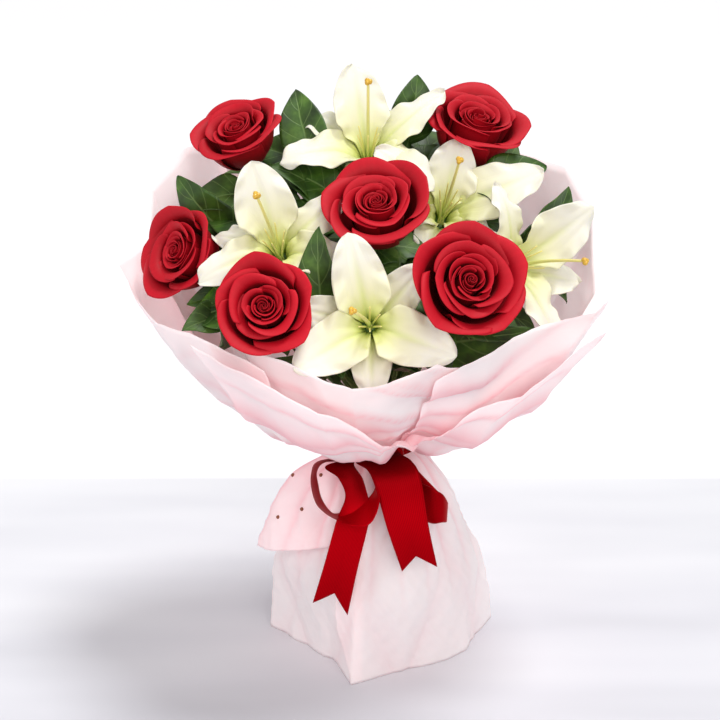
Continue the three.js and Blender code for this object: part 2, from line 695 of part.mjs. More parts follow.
function skirtSheet(directions, layer) {
  const rows = SKIRT_PROFILE.length - 1;
  const pointAt = (s, t) => {
    const direction = directions[Math.round(((s + 1) / 2) * (directions.length - 1))];
    return skirtPoint(direction, SKIRT_PROFILE[Math.round(t * rows)][0], layer);
  };
  return (grow) => blade(pointAt, directions.length - 1, rows, PAPER_THICKNESS, grow);
}

// The loose corner of the left sheet that is turned back over the skirt and stands off it
function skirtFlap() {
  const { first, last, firstLow, lastLow, stand } = FLAP;
  const levels = [SKIRT_PROFILE[1][0], SKIRT_PROFILE[2][0], SKIRT_PROFILE[3][0]];
  const pointAt = (s, t) => {
    const share = (s + 1) / 2;
    const height = t === 1 ? mix(firstLow, lastLow, share) : levels[Math.round(t * levels.length)];
    const off = 2 + stand * (1 - share) ** 1.5 * smooth(t, 0, 0.3);
    return skirtPoint(mix(first, last, share), height, 2, off);
  };
  return (grow) => blade(pointAt, (last - first) / COLLAR_STEP, levels.length, PAPER_THICKNESS, grow);
}

// A ribbon between two edges, given point by point as pairs. The notch cuts its end to a V.
function ribbonStrip(pairs, notch, grow) {
  const across = notch ? 2 : 1;
  const left = new THREE.CatmullRomCurve3(pairs.map((pair) => vec(...pair[0])));
  const right = new THREE.CatmullRomCurve3(pairs.map((pair) => vec(...pair[1])));
  const along = pairs.length - 1;
  const pointAt = (s, t) => {
    const point = left.getPoint(t).lerp(right.getPoint(t), (s + 1) / 2);
    return notch && s === 0 && t === 1 ? vec(...notch) : point;
  };
  return blade(pointAt, across, along, RIBBON_THICKNESS, grow);
}

const LEFT_TAIL = [
  [[22, -50, 208], [30, -50, 208]], [[-29, -66, 203], [-4, -64, 206]], [[-19, -74, 194], [3, -74, 192]],
  [[-13, -80, 179], [9, -82, 169]], [[-21, -87, 158], [7, -89, 154]], [[-31, -95, 122], [-2, -97, 117]],
  [[-42, -102, 85], [-11, -103, 73]],
];
const RIGHT_TAIL = [
  [[25, -50, 210], [35, -50, 210]], [[-3, -68, 208], [35, -64, 213]], [[7, -76, 202], [45, -72, 210]],
  [[14, -85, 188], [53, -82, 198]], [[24, -94, 154], [60, -92, 157]], [[37, -101, 116], [68, -100, 120]],
];
const LEFT_LOOP = [
  [[22, -52, 212], [24, -47, 202]], [[-21, -72, 213], [-17, -62, 205]],
  [[-38, -86, 215], [-32, -68, 206]], [[-42, -94, 208], [-38, -66, 196]],
  [[-42, -98, 197], [-37, -68, 186]], [[-38, -101, 183], [-34, -71, 173]],
  [[-20, -102, 168], [-19, -74, 159]], [[-7, -102, 163], [-9, -75, 161]], [[5, -100, 164], [2, -73, 167]],
  [[13, -92, 170], [10, -67, 171]], [[16, -76, 182], [14, -60, 180]], [[19, -62, 196], [20, -54, 196]],
  [[26, -54, 211], [27, -48, 202]],
];
const RIGHT_LOOP = [
  [[32, -52, 212], [30, -50, 202]], [[35, -64, 207], [30, -64, 183]], [[51, -68, 189], [45, -70, 158]],
  [[64, -76, 185], [62, -80, 153]], [[73, -76, 179], [72, -81, 154]], [[78, -69, 167], [77, -73, 151]],
  [[74, -60, 169], [73, -62, 153]], [[57, -55, 186], [56, -57, 162]], [[34, -50, 210], [33, -48, 200]],
];
const LEFT_NOTCH = [-24, -98, 94];
const RIGHT_NOTCH = [49, -98, 131];
const KNOT = { centre: [27, -50, 209], radius: 9, stretch: [1.2, 0.8, 1] };

function ribbonBow() {
  return (grow) => {
    const knot = new THREE.IcosahedronGeometry(KNOT.radius + grow, 0);
    knot.scale(...KNOT.stretch);
    knot.translate(...KNOT.centre);
    return wasm.Manifold.union([
      solidOf(knot),
      ribbonStrip(LEFT_TAIL, LEFT_NOTCH, grow),
      ribbonStrip(RIGHT_TAIL, RIGHT_NOTCH, grow),
      ribbonStrip(LEFT_LOOP, null, grow),
      ribbonStrip(RIGHT_LOOP, null, grow),
    ]);
  };
}

// A flat band round the neck: middle radius, thickness, lowest and highest level
function neckRing(radius, thickness, low, high, sides) {
  const [inner, outer] = [radius - thickness / 2, radius + thickness / 2];
  return (grow) => {
    const profile = [
      [inner - grow, low - grow], [outer + grow, low - grow],
      [outer + grow, high + grow], [inner - grow, high + grow], [inner - grow, low - grow],
    ];
    return turned(profile, sides).translate([BOUQUET_X, BOUQUET_Y, 0]);
  };
}

// The film bag: filled to the water line, then gathered round the stems up to the twine
function waterBag() {
  const film = 0.8;
  const neck = 18.2;
  const profile = [
    [0, 0], [BAG_RADIUS - 12, 0], [BAG_RADIUS, 14], [BAG_RADIUS - 8, WATER_DEPTH],
    [neck + film, NECK_HEIGHT - 12], [neck + film, NECK_HEIGHT + 3], [neck, NECK_HEIGHT + 3],
    [neck, NECK_HEIGHT - 12], [BAG_RADIUS - 9, WATER_DEPTH - 2], [0, WATER_DEPTH - 2],
  ];
  return () => turned(profile, 12).translate([BOUQUET_X, BOUQUET_Y, 0]);
}

// Pieces are placed in order. A later piece that would cross an earlier one is trimmed to keep
// the clearance, as the real petals and leaves press aside.
const bouquet = new THREE.Group();
const placed = [];

function boxesMeet(a, b) {
  return [0, 1, 2].every((axis) => a.min[axis] < b.max[axis] && b.min[axis] < a.max[axis]);
}

function place(name, build, material) {
  let solid = build(0);
  const box = solid.boundingBox();
  for (const other of placed) {
    if (boxesMeet(box, other.box)) solid = solid.subtract(other.grown);
  }
  solid = largestBody(solid).simplify(SIMPLER_BY);
  const grown = build(CLEARANCE);
  placed.push({ grown, box: grown.boundingBox() });
  const { vertProperties, triVerts } = solid.getMesh();
  const geometry = new THREE.BufferGeometry();
  geometry.setAttribute("position", new THREE.BufferAttribute(new Float32Array(vertProperties), 3));
  geometry.setIndex(Array.from(triVerts));
  geometry.computeVertexNormals();
  const mesh = new THREE.Mesh(geometry, material);
  mesh.name = name;
  bouquet.add(mesh);
}

const places = assignPlaces([
  ...ROSES.map((rose) => roseFrame(rose).origin),
  ...LILIES.map((lily) => lilyFrame(lily).origin),
  ...LEAF_STEMS.map((spec) => vec(...spec.top)),
]);
const lilyPlaces = places.slice(ROSES.length);
const leafPlaces = lilyPlaces.slice(LILIES.length);

ROSES.forEach((rose, k) => place(`rose_${k + 1}_bloom`, roseBloom(rose), COLOURS.rose));
LILIES.forEach((lily, k) => place(`lily_${k + 1}_bloom`, lilyBloom(lily), COLOURS.lily));
LILIES.forEach((lily, k) => place(`lily_${k + 1}_pistil`, lilyPistil(lily), COLOURS.pistil));
ROSES.forEach((rose, k) => place(`rose_${k + 1}_stem`, roseStem(rose, places[k]), COLOURS.stem));
LILIES.forEach((lily, k) => place(`lily_${k + 1}_stem`, lilyStem(lily, lilyPlaces[k]), COLOURS.stem));
COLLAR_SHEETS.forEach((sheet) => place(sheet.name, collarSheet(sheet), COLOURS.paper));
place("skirt_right", skirtSheet(SKIRT_RIGHT, 1), COLOURS.paper);
place("skirt_left", skirtSheet(SKIRT_LEFT, 0), COLOURS.paper);
place("skirt_flap", skirtFlap(), COLOURS.paper);
LEAF_STEMS.forEach((spec, k) => place(`leaf_stem_${k + 1}`, leafStem(spec, leafPlaces[k]), COLOURS.leaf));
const twine = neckRing(TWINE_RADIUS, TWINE_THICKNESS, NECK_HEIGHT - 6, NECK_HEIGHT + 2, 12);
place("binding_twine", twine, COLOURS.twine);
place("water_bag", waterBag(), COLOURS.water);
place("ribbon_bow", ribbonBow(), COLOURS.satin);
const band = neckRing(BAND_RADIUS, BAND_THICKNESS, NECK_HEIGHT - 7, NECK_HEIGHT + 4, 16);
place("ribbon_band", band, COLOURS.satin);

const bounds = new THREE.Box3().setFromObject(bouquet);
const middle = bounds.getCenter(vec(0, 0, 0));
bouquet.position.set(-middle.x, -middle.y, -bounds.min.z);

export default bouquet;
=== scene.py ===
"""Mixed flower bouquet: red roses, white lilies and dark leaves in pale pink paper with a satin bow.

Shapes are worked out in millimetres in the florist's layout, in which the stems are tied above
(TIE_X, TIE_Y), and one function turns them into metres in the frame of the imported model.
"""

import logging
import math
from dataclasses import dataclass, replace
from enum import Enum

import bpy
import numpy as np
from bpy.types import Material, NodeSocket, Object
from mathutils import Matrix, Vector


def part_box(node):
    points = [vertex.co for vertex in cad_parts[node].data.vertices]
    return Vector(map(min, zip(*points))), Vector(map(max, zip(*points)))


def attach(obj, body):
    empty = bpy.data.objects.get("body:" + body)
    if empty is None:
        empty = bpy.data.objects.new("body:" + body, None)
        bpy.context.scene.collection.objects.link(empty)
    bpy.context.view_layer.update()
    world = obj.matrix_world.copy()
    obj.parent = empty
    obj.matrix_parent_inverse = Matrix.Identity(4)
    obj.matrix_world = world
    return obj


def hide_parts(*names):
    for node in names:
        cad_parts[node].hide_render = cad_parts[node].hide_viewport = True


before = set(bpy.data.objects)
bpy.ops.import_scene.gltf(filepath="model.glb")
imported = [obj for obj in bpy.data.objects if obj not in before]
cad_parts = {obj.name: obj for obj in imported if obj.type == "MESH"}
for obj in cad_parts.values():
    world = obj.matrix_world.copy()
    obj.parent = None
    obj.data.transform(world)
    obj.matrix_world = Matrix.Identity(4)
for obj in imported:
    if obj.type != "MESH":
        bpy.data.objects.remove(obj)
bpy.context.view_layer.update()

LOG = logging.getLogger("bouquet")

MM = 0.001
BODY = "root"
SEED = 7

# The tied bundle of stems, in layout millimetres and degrees
TIE_X, TIE_Y, TIE_HEIGHT = 17.0, -8.0, 206.0
STEM_FOOT = 12.0
SLOT_PITCH = 7.0
SPIRAL_WAIST = 150.0
STEM_APPROACH = 60.0

# The paper collar and the skirt: radius at the tie, layer to layer, and the way of the knot
PAPER_NECK = 21.0
PAPER_PITCH = 1.8
KNOT_DIRECTION = 288.0

# Thickness of what several classes make as sheets
LEAF_WALL, PAPER_WALL, SATIN_WALL = 0.5, 0.3, 0.35

Vector3 = tuple[float, float, float]
Values = float | np.ndarray


# --- Numbers on grids ---


def mix(a: Values, b: Values, t: Values) -> Values:
    """Straight blend from a, at t = 0, to b, at t = 1."""
    return a + (b - a) * t


def smooth(x: Values, low: float, high: float) -> np.ndarray:
    """Smooth step: 0 below low, 1 above high, and 3x² - 2x³ between them."""
    x = np.clip((np.asarray(x, float) - low) / (high - low), 0.0, 1.0)
    return x * x * (3.0 - 2.0 * x)


def grid(across: int, along: int) -> tuple[np.ndarray, np.ndarray]:
    """The two parameters of a surface.

    Args:
        across: cells across it.
        along: cells along it.

    Returns:
        s from -1 to 1 across and t from 0 to 1 along, each with a row for every t.
    """
    return np.meshgrid(np.linspace(-1.0, 1.0, across + 1), np.linspace(0.0, 1.0, along + 1))


def unit(vector: np.ndarray) -> np.ndarray:
    """The vectors along the last axis, each of length 1."""
    return vector / np.maximum(np.linalg.norm(vector, axis=-1, keepdims=True), 1e-9)


def spline(points: np.ndarray, count: int) -> np.ndarray:
    """A smooth curve through given points, evenly in its parameter.

    Each stretch is the Catmull-Rom cubic: half of 2b + (c - a)t + (2a - 5b + 4c - d)t² +
    (3b - a - 3c + d)t³ for the four points a, b, c, d round it.

    Args:
        points: the points, one a row.
        count: how many points the curve gets.

    Returns:
        The curve's points, one a row.
    """
    points = np.asarray(points, float)
    ends = np.vstack([2 * points[0] - points[1], points, 2 * points[-1] - points[-2]])
    place = np.linspace(0.0, len(points) - 1.0, count)
    k = np.minimum(place.astype(int), len(points) - 2)
    t = (place - k)[:, None]
    a, b, c, d = ends[k], ends[k + 1], ends[k + 2], ends[k + 3]
    bend = (2 * a - 5 * b + 4 * c - d) * t**2 + (3 * b - a - 3 * c + d) * t**3
    return 0.5 * (2 * b + (c - a) * t + bend)


def layout_shift() -> np.ndarray:
    """Where the layout's zero lies in the frame, from the water bag under the tie.

    Returns:
        The shift to add to layout metres.
    """
    low, high = (np.array(corner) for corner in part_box("water_bag"))
    middle = (low + high) / 2
    return np.array([middle[0] - TIE_X * MM, middle[1] - TIE_Y * MM, 0.0])


SHIFT = layout_shift()


@dataclass(frozen=True)
class Facing:
    """The frame of a bloom: out is the way it faces, right and up span its face."""

    origin: np.ndarray
    right: np.ndarray
    up: np.ndarray
    out: np.ndarray

    @classmethod
    def towards(cls, origin: Vector3, elevation: float, azimuth: float, back: float = 0.0) -> "Facing":
        """A frame that looks up by elevation and to the right of the front by azimuth.

        Args:
            origin: a point of the bloom, in layout millimetres.
            elevation: degrees above the horizon.
            azimuth: degrees to the right of the front.
            back: how far behind that point the frame's own origin lies, along the axis.

        Returns:
            The frame.
        """
        e, a = math.radians(elevation), math.radians(azimuth)
        out = np.array([math.sin(a) * math.cos(e), -math.cos(a) * math.cos(e), math.sin(e)])
        right = unit(np.cross([0.0, 0.0, 1.0], out))
        return cls(np.asarray(origin, float) - back * out, right, np.cross(out, right), out)

    def place(self, radius: Values, turn: Values, height: Values) -> np.ndarray:
        """Points given round the bloom's axis.

        Args:
            radius: distance from the axis.
            turn: turn round the axis, in radians.
            height: height along the axis.

        Returns:
            The points, in layout millimetres.
        """
        radius, turn, height = np.broadcast_arrays(radius, turn, height)
        return (
            self.origin
            + (radius * np.cos(turn))[..., None] * self.right
            + (radius * np.sin(turn))[..., None] * self.up
            + height[..., None] * self.out
        )


# --- Pieces ---


@dataclass(frozen=True)
class Patch:
    """One surface of a piece: a grid of points in layout millimetres.

    tone is a number from 0 to 1, or one for each point, that its finish may read; finish is the
    place of its material in the piece's list; a tube is closed across and capped at both ends.
    """

    points: np.ndarray
    tone: Values = 0.5
    finish: int = 0
    tube: bool = False


def corners(values: np.ndarray) -> np.ndarray:
    """The values at the four corners of each cell, in turning order."""
    return np.stack([values[:-1, :-1], values[:-1, 1:], values[1:, 1:], values[1:, :-1]], axis=2)


def build_piece(
    name: str, patches: list[Patch], materials: list[Material], thickness: float = 0.0
) -> Object:
    """Makes one piece from its patches, with the UV map "surface" and the attribute "tone".

    Args:
        name: the piece's name.
        patches: its surfaces.
        materials: the finishes that the patches name.
        thickness: millimetres that a Solidify gives open surfaces, half to each side.

    Returns:
        The object, which rides on the bouquet's one body.
    """
    vertices, loops, starts, uvs, tones, indices = [], [], [], [], [], []
    first = loop = 0
    for patch in patches:
        rows, columns = patch.points.shape[:2]
        ids = first + np.arange(rows * columns).reshape(rows, columns)
        if patch.tube:
            ids = np.hstack([ids, ids[:, :1]])
        u, v = np.meshgrid(np.linspace(0, 1, ids.shape[1]), np.linspace(0, 1, rows))
        quads = corners(ids).reshape(-1, 4)
        loops.append(quads.ravel())
        uvs.append(corners(np.stack([u, v], -1)).reshape(-1, 2))
        starts.append(loop + 4 * np.arange(len(quads)))
        loop += quads.size
        faces = len(quads)
        if patch.tube:
            for ring, level in ((ids[0, -2::-1], 0.0), (ids[-1, :-1], 1.0)):
                loops.append(ring)
                uvs.append(np.tile([0.5, level], (len(ring), 1)))
                starts.append([loop])
                loop += len(ring)
                faces += 1
        vertices.append(patch.points.reshape(-1, 3))
        tones.append(np.broadcast_to(patch.tone, (rows, columns)).ravel())
        indices.append(np.full(faces, patch.finish))
        first += rows * columns
    places = np.concatenate(vertices) * MM + SHIFT
    starts = np.concatenate(starts)
    mesh = bpy.data.meshes.new(name)
    mesh.vertices.add(len(places))
    mesh.vertices.foreach_set("co", places.astype(np.float32).ravel())
    mesh.loops.add(loop)
    mesh.loops.foreach_set("vertex_index", np.concatenate(loops).astype(np.int32))
    mesh.polygons.add(len(starts))
    mesh.polygons.foreach_set("loop_start", starts.astype(np.int32))
    mesh.update(calc_edges=True)
    mesh.polygons.foreach_set("use_smooth", np.ones(len(starts), bool))
    mesh.polygons.foreach_set("material_index", np.concatenate(indices).astype(np.int32))
    surface = mesh.uv_layers.new(name="surface")
    surface.data.foreach_set("uv", np.concatenate(uvs).astype(np.float32).ravel())
    tone = mesh.attributes.new("tone", "FLOAT", "POINT")
    tone.data.foreach_set("value", np.concatenate(tones).astype(np.float32))
    for material in materials:
        mesh.materials.append(material)
    piece = bpy.data.objects.new(name, mesh)
    bpy.context.scene.collection.objects.link(piece)
    if thickness:
        wall = piece.modifiers.new("wall", "SOLIDIFY")
        wall.thickness = thickness * MM
        wall.offset = 0.0
    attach(piece, BODY)
    LOG.info("%s: %d surfaces, %d faces", name, len(patches), len(starts))
    return piece


def tube(path: np.ndarray, radius: Values, sides: int = 10, finish: int = 0) -> Patch:
    """A round bar along a path.

    Round each point lies a ring, square to the path: the point plus radius times the cosine of
    the turn along one cross direction and its sine along the other. The first cross direction is
    carried from ring to ring by taking away its part along the path.

    Args:
        path: points in layout millimetres, one a row.
        radius: one radius, or one for each point.
        sides: points in each ring.
        finish: the patch's finish.

    Returns:
        The closed patch.
    """
    path = np.asarray(path, float)
    radius = np.broadcast_to(np.asarray(radius, float), len(path))
    along = unit(np.gradient(path, axis=0))
    across = np.zeros_like(path)
    carried = np.eye(3)[np.argmin(np.abs(along[0]))]
    for k, direction in enumerate(along):
        carried = unit(carried - direction * np.dot(carried, direction))
        across[k] = carried
    other = np.cross(along, across)
    turn = np.linspace(0, 2 * math.pi, sides, endpoint=False)[None, :, None]
    ring = across[:, None] * np.cos(turn) + other[:, None] * np.sin(turn)
    return Patch(path[:, None] + radius[:, None, None] * ring, finish=finish, tube=True)


# --- Finishes ---


def linear(colour: str) -> tuple[float, float, float, float]:
    """An sRGB colour as the linear colour that a shader takes.

    Args:
        colour: # and six hex digits.

    Returns:
        Red, green, blue and an alpha of 1.
    """
    parts = [int(colour[k : k + 2], 16) / 255 for k in (1, 3, 5)]
    red, green, blue = (c / 12.92 if c <= 0.04045 else ((c + 0.055) / 1.055) ** 2.4 for c in parts)
    return red, green, blue, 1.0


def cells(size: float) -> float:
    """The scale that gives a pattern on Object coordinates cells of a size in millimetres."""
    return 1 / (size * MM)


class Recipe:
    """A material in the making: one principled shader and the nodes that feed it."""

    def __init__(self, name: str, **flat: float | tuple) -> None:
        """Starts the material.

        Args:
            name: the real material's name.
            flat: values of the shader's sockets that are the same all over; _ stands for a space.
        """
        self.material = bpy.data.materials.new(name)
        self.material.use_nodes = True
        self.tree = self.material.node_tree
        self.shader = self.tree.nodes["Principled BSDF"]
        for key, value in flat.items():
            self.shader.inputs[key.replace("_", " ")].default_value = value

    def add(
        self,
        kind: str,
        inputs: dict[int | str, object],
        output: int | str = 0,
        stops: tuple[tuple[float, str], ...] = (),
        **settings: str | bool,
    ) -> NodeSocket:
        """Adds a shader node with its settings and links.

        Args:
            kind: the node's type, without the ShaderNode in front.
            inputs: for each socket, by name or place, a value or the output that is linked to it.
            output: the socket to return, by name or place.
            stops: places and hex colours, where the node is a colour ramp.
            settings: properties of the node.

        Returns:
            One output of the node.
        """
        node = self.tree.nodes.new("ShaderNode" + kind)
        for key, value in settings.items():
            setattr(node, key, value)
        for socket, value in inputs.items():
            if isinstance(value, NodeSocket):
                self.tree.links.new(value, node.inputs[socket])
            else:
                node.inputs[socket].default_value = value
        for place, _ in stops[2:]:
            node.color_ramp.elements.new(place)
        for place, (position, colour) in enumerate(stops):
            node.color_ramp.elements[place].position = position
            node.color_ramp.elements[place].color = linear(colour)
        return node.outputs[output]

    def finished(
        self, colour: NodeSocket, height: NodeSocket | None = None, depth: float = 0, strength: float = 1
    ) -> Material:
        """Links the colour and the relief to the shader.

        Args:
            colour: the colour.
            height: the pattern whose heights, from 0 to 1, stand out from the surface.
            depth: how far a height of 1 stands out, in millimetres.
            strength: share of that relief that shows.

        Returns:
            The finished material.
        """
        self.tree.links.new(colour, self.shader.inputs["Base Color"])
        if height is not None:
            relief = self.add("Bump", {"Height": height, "Distance": depth * MM, "Strength": strength})
            self.tree.links.new(relief, self.shader.inputs["Normal"])
        return self.material


@dataclass(frozen=True)
class RosePetalFinish:
    """Rose petal: thin velvety tissue. It gives the eye a deep red; its paler rims are a painted
    highlight, and painted shade at the roots and on the inner petals adds to the shade between the petals,
    which goes nearly black."""

    name: str = "rose petal, velvety red tissue"
    # root and deep: painted shade towards the petal's foot; rim: a painted highlight; dark: the painted
    # shade that the tone mixes in
    root: str = "#240002"
    deep: str = "#70000b"
    wall: str = "#ae0317"
    rim: str = "#cc0b24"
    dark: str = "#7d000d"
    mottle: float = 0.3
    width: float = 60.0
    vein_gap: float = 2.0  # millimetres; real veins lie closer than 1 mm and would not show
    vein_depth: float = 0.12

    def material(self) -> Material:
        """Builds the finish: painted shade dark at the root, a painted highlight bright at the rim, and
        fine lengthwise veins.

        Returns:
            The material.
        """
        recipe = Recipe(
            self.name, Roughness=0.58, Sheen_Weight=0.1, Sheen_Roughness=0.4,
            Sheen_Tint=linear("#ff5a64"), Specular_IOR_Level=0.24,
        )
        uv = recipe.add("UVMap", {}, uv_map="surface")
        v = recipe.add("SeparateXYZ", {0: uv}, "Y")
        tone = recipe.add("Attribute", {}, "Fac", attribute_name="tone")
        # Painted shade from the root up the wall, and a painted highlight at the rim
        stops = ((0.0, self.root), (0.4, self.deep), (0.7, self.wall), (0.97, self.rim))
        colour = recipe.add("ValToRGB", {0: v}, stops=stops)
        along = recipe.add("Mapping", {"Vector": uv, "Scale": (self.width / self.vein_gap, 2.0, 1.0)})
        veins = recipe.add("TexNoise", {"Vector": along, "Scale": 1.0, "Detail": 3.0}, "Fac")
        mottle = recipe.add("Math", {0: veins, 1: self.mottle}, operation="MULTIPLY")
        shade = recipe.add("Math", {0: tone, 1: mottle}, operation="ADD", use_clamp=True)
        # The tone mixes in the dark red: painted shade on the inner petals, with a random difference from
        # petal to petal and the vein mottle
        blend = {0: shade, 6: colour, 7: linear(self.dark)}
        colour = recipe.add("Mix", blend, 2, data_type="RGBA")
        return recipe.finished(colour, veins, self.vein_depth, 0.5)


@dataclass(frozen=True)
class LilyPetalFinish:
    """Lily petal: firm waxy tissue. It gives the eye a soft ivory white that turns yellow green
    in the throat and along the midrib."""

    name: str = "lily petal, waxy ivory tissue"
    throat: str = "#93ad32"
    yellow: str = "#d9e084"
    ivory: str = "#e6e4be"
    white: str = "#ebe9db"
    midrib: str = "#d6de92"
    width: float = 52.0
    groove_gap: float = 2.0  # millimetres, as coarse as it needs to be to show
    groove_depth: float = 0.3

    def material(self) -> Material:
        """Builds the finish: colour by the distance from the throat, a green midrib, fine grooves.

        Returns:
            The material.
        """
        recipe = Recipe(
            self.name, Roughness=0.45, Specular_IOR_Level=0.3, Subsurface_Weight=0.25,
            Subsurface_Radius=(0.004, 0.004, 0.002),
        )
        uv = recipe.add("UVMap", {}, uv_map="surface")
        u = recipe.add("SeparateXYZ", {0: uv}, "X")
        v = recipe.add("SeparateXYZ", {0: uv}, "Y")
        stops = ((0.08, self.throat), (0.22, self.yellow), (0.48, self.ivory), (0.76, self.white))
        colour = recipe.add("ValToRGB", {0: v}, stops=stops)
        # |2u - 1| is 0 on the midrib and 1 on either edge
        centred = recipe.add("Math", {0: u, 1: 2.0, 2: -1.0}, operation="MULTIPLY_ADD")
        aside = recipe.add("Math", {0: centred}, operation="ABSOLUTE")
        near = {0: aside, 1: 0.0, 2: 0.2, 3: 0.7, 4: 0.0}
        near = recipe.add("MapRange", near, interpolation_type="SMOOTHSTEP")
        fading = recipe.add("MapRange", {0: v, 1: 0.35, 2: 0.85, 3: 1.0, 4: 0.05})
        rib = recipe.add("Math", {0: near, 1: fading}, operation="MULTIPLY")
        blend = {0: rib, 6: colour, 7: linear(self.midrib)}
        colour = recipe.add("Mix", blend, 2, data_type="RGBA")
        along = recipe.add("Mapping", {"Vector": uv, "Scale": (self.width / self.groove_gap, 1.6, 1.0)})
        noise = recipe.add("TexNoise", {"Vector": along, "Scale": 1.0}, "Fac")
        return recipe.finished(colour, noise, self.groove_depth, 0.5)


@dataclass(frozen=True)
class LeafFinish:
    """Broad florist's leaf: leathery, with a waxed skin. It gives the eye a deep, slightly olive
    green with a paler midrib, faint side veins and a broken soft gloss."""

    name: str = "leathery leaf with a waxed skin"
    dark: str = "#283b16"
    middle: str = "#4b672d"
    light: str = "#7b9a4e"
    vein: str = "#8fae64"
    length: float = 77.0
    vein_gap: float = 14.0  # millimetres from one side vein to the next
    vein_strength: float = 0.4
    vein_depth: float = 0.4
    slant: float = 2.6
    cloud_size: float = 18.18  # millimetres

    def material(self) -> Material:
        """Builds the finish: mottled greens, slanting side veins and a midrib, sunk in relief.

        Returns:
            The material.
        """
        recipe = Recipe(
            self.name, Roughness=0.48, Specular_IOR_Level=0.38, Coat_Weight=0.1, Coat_Roughness=0.35,
        )
        uv = recipe.add("UVMap", {}, uv_map="surface")
        u = recipe.add("SeparateXYZ", {0: uv}, "X")
        v = recipe.add("SeparateXYZ", {0: uv}, "Y")
        # |2u - 1| is 0 on the midrib and 1 on either edge
        centred = recipe.add("Math", {0: u, 1: 2.0, 2: -1.0}, operation="MULTIPLY_ADD")
        aside = recipe.add("Math", {0: centred}, operation="ABSOLUTE")
        place = recipe.add("TexCoord", {}, "Object")
        clouds = {"Vector": place, "Scale": cells(self.cloud_size), "Detail": 4.0}
        clouds = recipe.add("TexNoise", clouds, "Fac")
        stops = ((0.3, self.dark), (0.55, self.middle), (0.8, self.light))
        green = recipe.add("ValToRGB", {0: clouds}, stops=stops)
        tone = recipe.add("Attribute", {}, "Fac", attribute_name="tone")
        blend = {0: tone, 6: green, 7: linear(self.light)}
        green = recipe.add("Mix", blend, 2, data_type="RGBA", blend_type="SOFT_LIGHT")
        # The side veins are stripes of v, slanting forward with the distance from the midrib; a
        # vein lies where the to and fro of 0 to 1 is back at 0, so on every second count
        counts = 2 * self.length / self.vein_gap
        slant = recipe.add("Math", {0: aside, 1: -self.slant / counts, 2: v}, operation="MULTIPLY_ADD")
        stripes = recipe.add("Math", {0: slant, 1: counts}, operation="MULTIPLY")
        wave = recipe.add("Math", {0: stripes, 1: 1.0}, operation="PINGPONG")
        fine = {0: wave, 1: 0.0, 2: 0.14, 3: 0.6, 4: 0.0}
        fine = recipe.add("MapRange", fine, interpolation_type="SMOOTHSTEP")
        midrib = {0: aside, 1: 0.0, 2: 0.07, 3: 1.0, 4: 0.0}
        midrib = recipe.add("MapRange", midrib, interpolation_type="SMOOTHSTEP")
        veins = recipe.add("Math", {0: fine, 1: midrib}, operation="MAXIMUM")
        faint = recipe.add("Math", {0: veins, 1: self.vein_strength}, operation="MULTIPLY")
        blend = {0: faint, 6: green, 7: linear(self.vein)}
        green = recipe.add("Mix", blend, 2, data_type="RGBA")
        sunk = recipe.add("Math", {0: 1.0, 1: veins}, operation="SUBTRACT")
        return recipe.finished(green, sunk, self.vein_depth, 0.6)


@dataclass(frozen=True)
class StemFinish:
    """Cut flower stem: smooth green bark. It gives the eye a mid green with lengthwise streaks."""

    name: str = "green stem bark"
    dark: str = "#39602a"
    light: str = "#79a14c"
    girth: float = 18.0
    streak_gap: float = 2.0  # millimetres
    streak_depth: float = 0.3

    def material(self) -> Material:
        """Builds the finish: streaks that run along the stem.

        Returns:
            The material.
        """
        recipe = Recipe(self.name, Roughness=0.45, Specular_IOR_Level=0.4)
        uv = recipe.add("UVMap", {}, uv_map="surface")
        along = recipe.add("Mapping", {"Vector": uv, "Scale": (self.girth / self.streak_gap, 4.0, 1.0)})
        noise = recipe.add("TexNoise", {"Vector": along, "Scale": 1.0, "Detail": 3.0}, "Fac")
        colour = recipe.add("ValToRGB", {0: noise}, stops=((0.3, self.dark), (0.7, self.light)))
        return recipe.finished(colour, noise, self.streak_depth, 0.3)


@dataclass(frozen=True)
class PistilFinish:
    """Style and filaments of a lily: smooth moist tissue. They give the eye a pale green that
    turns yellow towards the tip."""

    name: str = "lily style, moist tissue"
    foot: str = "#b9cc6e"
    tip: str = "#ece28c"

    def material(self) -> Material:
        """Builds the finish: one gradient from foot to tip.

        Returns:
            The material.
        """
        recipe = Recipe(
            self.name, Roughness=0.35, Subsurface_Weight=0.2, Subsurface_Radius=(0.003, 0.003, 0.001)
        )
        uv = recipe.add("UVMap", {}, uv_map="surface")
        v = recipe.add("SeparateXYZ", {0: uv}, "Y")
        colour = recipe.add("ValToRGB", {0: v}, stops=((0.1, self.foot), (0.8, self.tip)))
        return recipe.finished(colour)


@dataclass(frozen=True)
class StigmaFinish:
    """Stigma of a lily: sticky, finely beaded tissue. It gives the eye a glossy golden yellow."""

    name: str = "stigma, sticky beaded tissue"
    pale: str = "#eccb46"
    deep: str = "#cf9a22"
    bead_size: float = 1.111  # millimetres; real ones are 0.2 mm and would not show
    bead_depth: float = 0.3

    def material(self) -> Material:
        """Builds the finish: beads of two colours with a wet gloss.

        Returns:
            The material.
        """
        recipe = Recipe(self.name, Roughness=0.3, Coat_Weight=0.4, Coat_Roughness=0.1)
        place = recipe.add("TexCoord", {}, "Object")
        beads = recipe.add("TexVoronoi", {"Vector": place, "Scale": cells(self.bead_size)}, "Distance")
        stops = ((0.1, self.pale), (0.7, self.deep))
        colour = recipe.add("ValToRGB", {0: beads}, stops=stops)
        return recipe.finished(colour, beads, self.bead_depth, 0.5)


